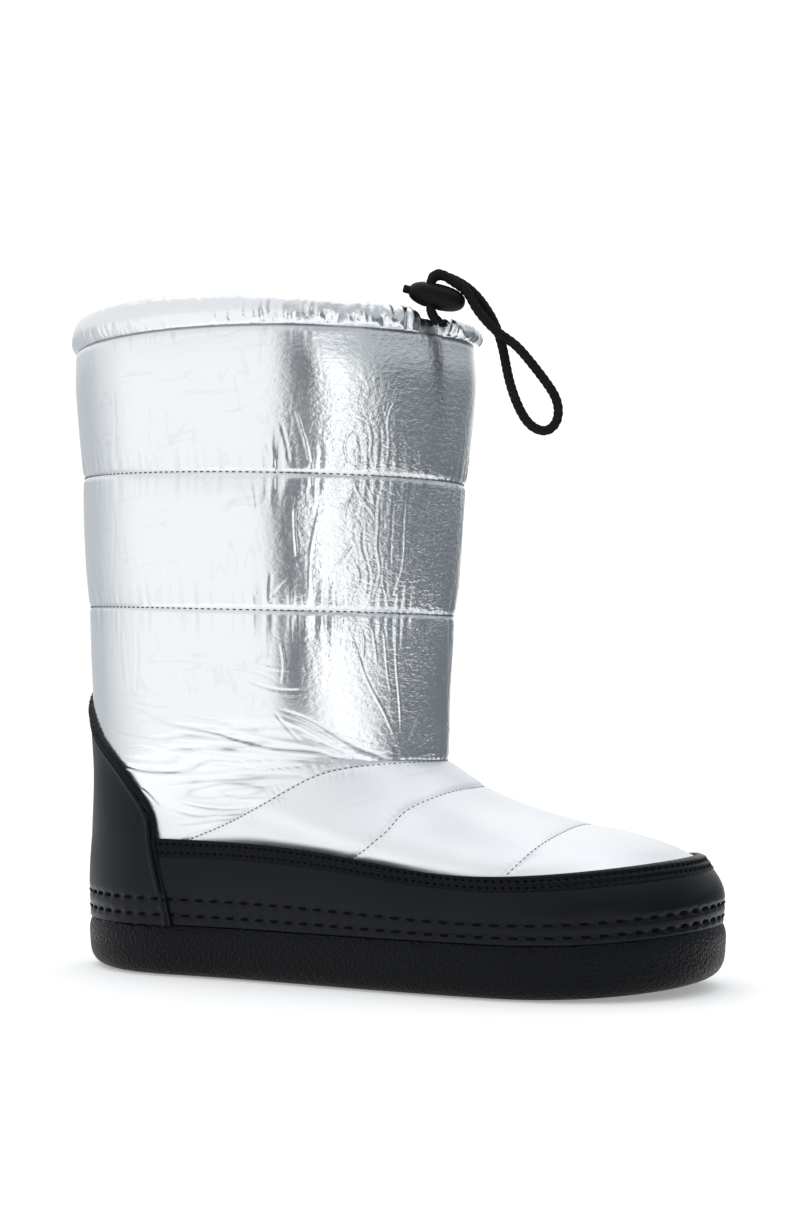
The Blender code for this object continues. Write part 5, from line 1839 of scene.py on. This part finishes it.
floor_turns = [2 * math.pi * i / FLOOR_SIDES for i in range(FLOOR_SIDES)]
floor_rim = [(FLOOR_RADIUS * math.cos(turn), FLOOR_RADIUS * math.sin(turn), 0) for turn in floor_turns]
floor_mesh = bpy.data.meshes.new("floor")
floor_mesh.from_pydata(floor_rim, [], [tuple(range(FLOOR_SIDES))])
floor = put_in_scene("floor", floor_mesh)
floor_finish, _, floor_shader = new_finish("pale floor", FLOOR_PALE, 0.8)
floor_shader.inputs["Specular IOR Level"].default_value = 0.1
floor_shader.inputs["Emission Color"].default_value = (1, 1, 1, 1)
floor_shader.inputs["Emission Strength"].default_value = FLOOR_GLOW
floor_mesh.materials.append(floor_finish)

# Panels and walls round the boot, from left to right by their bearing from the camera in degrees
Panel = namedtuple("Panel", "start end light")
BACKDROP_LEFT = Panel(-180, -167, 1.2)
BACK_WALL = Panel(-158, -125, 0.6)
LEFT_PANEL = Panel(-90, -18, 1.05)
DARK_GAP = Panel(-9, -1, 0.18)
STRIP_LIGHT = Panel(5, 16, 1.3)
RIGHT_WALL = Panel(40, 145, 0.19)
BACKDROP_RIGHT = Panel(167, 180, 1.2)
LEFT_CEILING = Panel(-140, -24, 0.9)
RIGHT_CEILING = Panel(4, 140, 0.55)
ROOM_TOP = (0.95, 0.96, 0.98, 1)
CEILING_EDGE = (0.1, 0.26)
TOP_EDGE = (0.62, 0.86)

world = bpy.data.worlds.new("studio")
bpy.context.scene.world = world
world.use_nodes = True
room = world.node_tree
direction = joined(room, "ShaderNodeTexCoord").outputs["Generated"]
parts = joined(room, "ShaderNodeSeparateXYZ", {"Vector": direction})
bearing = sums(room, parts.outputs["Y"], parts.outputs["X"], "ARCTAN2")
from_camera = sums(room, bearing, math.pi / 2 - CAMERA_TURN)
wrapped = joined(room, "ShaderNodeMath", {0: from_camera, 1: math.pi, 2: -math.pi}, operation="WRAP").outputs[0]
share_round = even_ramp(room, wrapped, -math.pi, math.pi, 0.0, 1.0)


def room_tone(light):
    """Neutral where the room is bright, a little blue where it is dark."""
    shade = 1 - min(light, 1)
    return (light * (0.99 - 0.11 * shade), light, light * (1.01 + 0.09 * shade))


def ring_of(*panels):
    """The room's light all round, even across each panel and blended from one to the next."""
    stops = [((edge + 180) / 360, room_tone(each.light)) for each in panels for edge in (each.start, each.end)]
    return ramp(room, share_round, stops)


def over(below, above, start, end):
    """One part of the room above another, blended between two heights."""
    share = even_ramp(room, parts.outputs["Z"], start, end, 0.0, 1.0)
    return joined(room, "ShaderNodeMix", {0: share, 6: below, 7: above}, data_type="RGBA").outputs[2]


sides = ring_of(BACKDROP_LEFT, BACK_WALL, LEFT_PANEL, DARK_GAP, STRIP_LIGHT, RIGHT_WALL, BACKDROP_RIGHT)
ceiling = ring_of(BACKDROP_LEFT, LEFT_CEILING, RIGHT_CEILING, BACKDROP_RIGHT)
whole_room = over(over(sides, ceiling, *CEILING_EDGE), ROOM_TOP, *TOP_EDGE)
backdrop = room.nodes["Background"]
room.links.new(whole_room, backdrop.inputs["Color"])
backdrop.inputs["Strength"].default_value = 1.0
bpy.context.scene.view_settings.view_transform = "Standard"

lamp = bpy.data.lights.new("overhead_panel", "AREA")
lamp.shape = "RECTANGLE"
lamp.size = lamp.size_y = LAMP_SIZE
lamp.energy = LAMP_POWER
overhead = put_in_scene("overhead_panel", lamp)
overhead.location = LAMP_SPOT
overhead.rotation_euler = (-LAMP_SPOT).to_track_quat("-Z", "Y").to_euler()

lens = bpy.data.cameras.new("camera")
lens.lens = LENS
lens.sensor_fit = "VERTICAL"
lens.sensor_height = SENSOR
lens.shift_x, lens.shift_y = SHIFT
camera = put_in_scene("camera", lens)
camera.location = (CAMERA_AIM_X + CAMERA_DISTANCE * math.sin(CAMERA_TURN),
                   -CAMERA_DISTANCE * math.cos(CAMERA_TURN), CAMERA_HEIGHT)
camera.rotation_euler = (math.pi / 2, 0, CAMERA_TURN)
bpy.context.scene.camera = camera
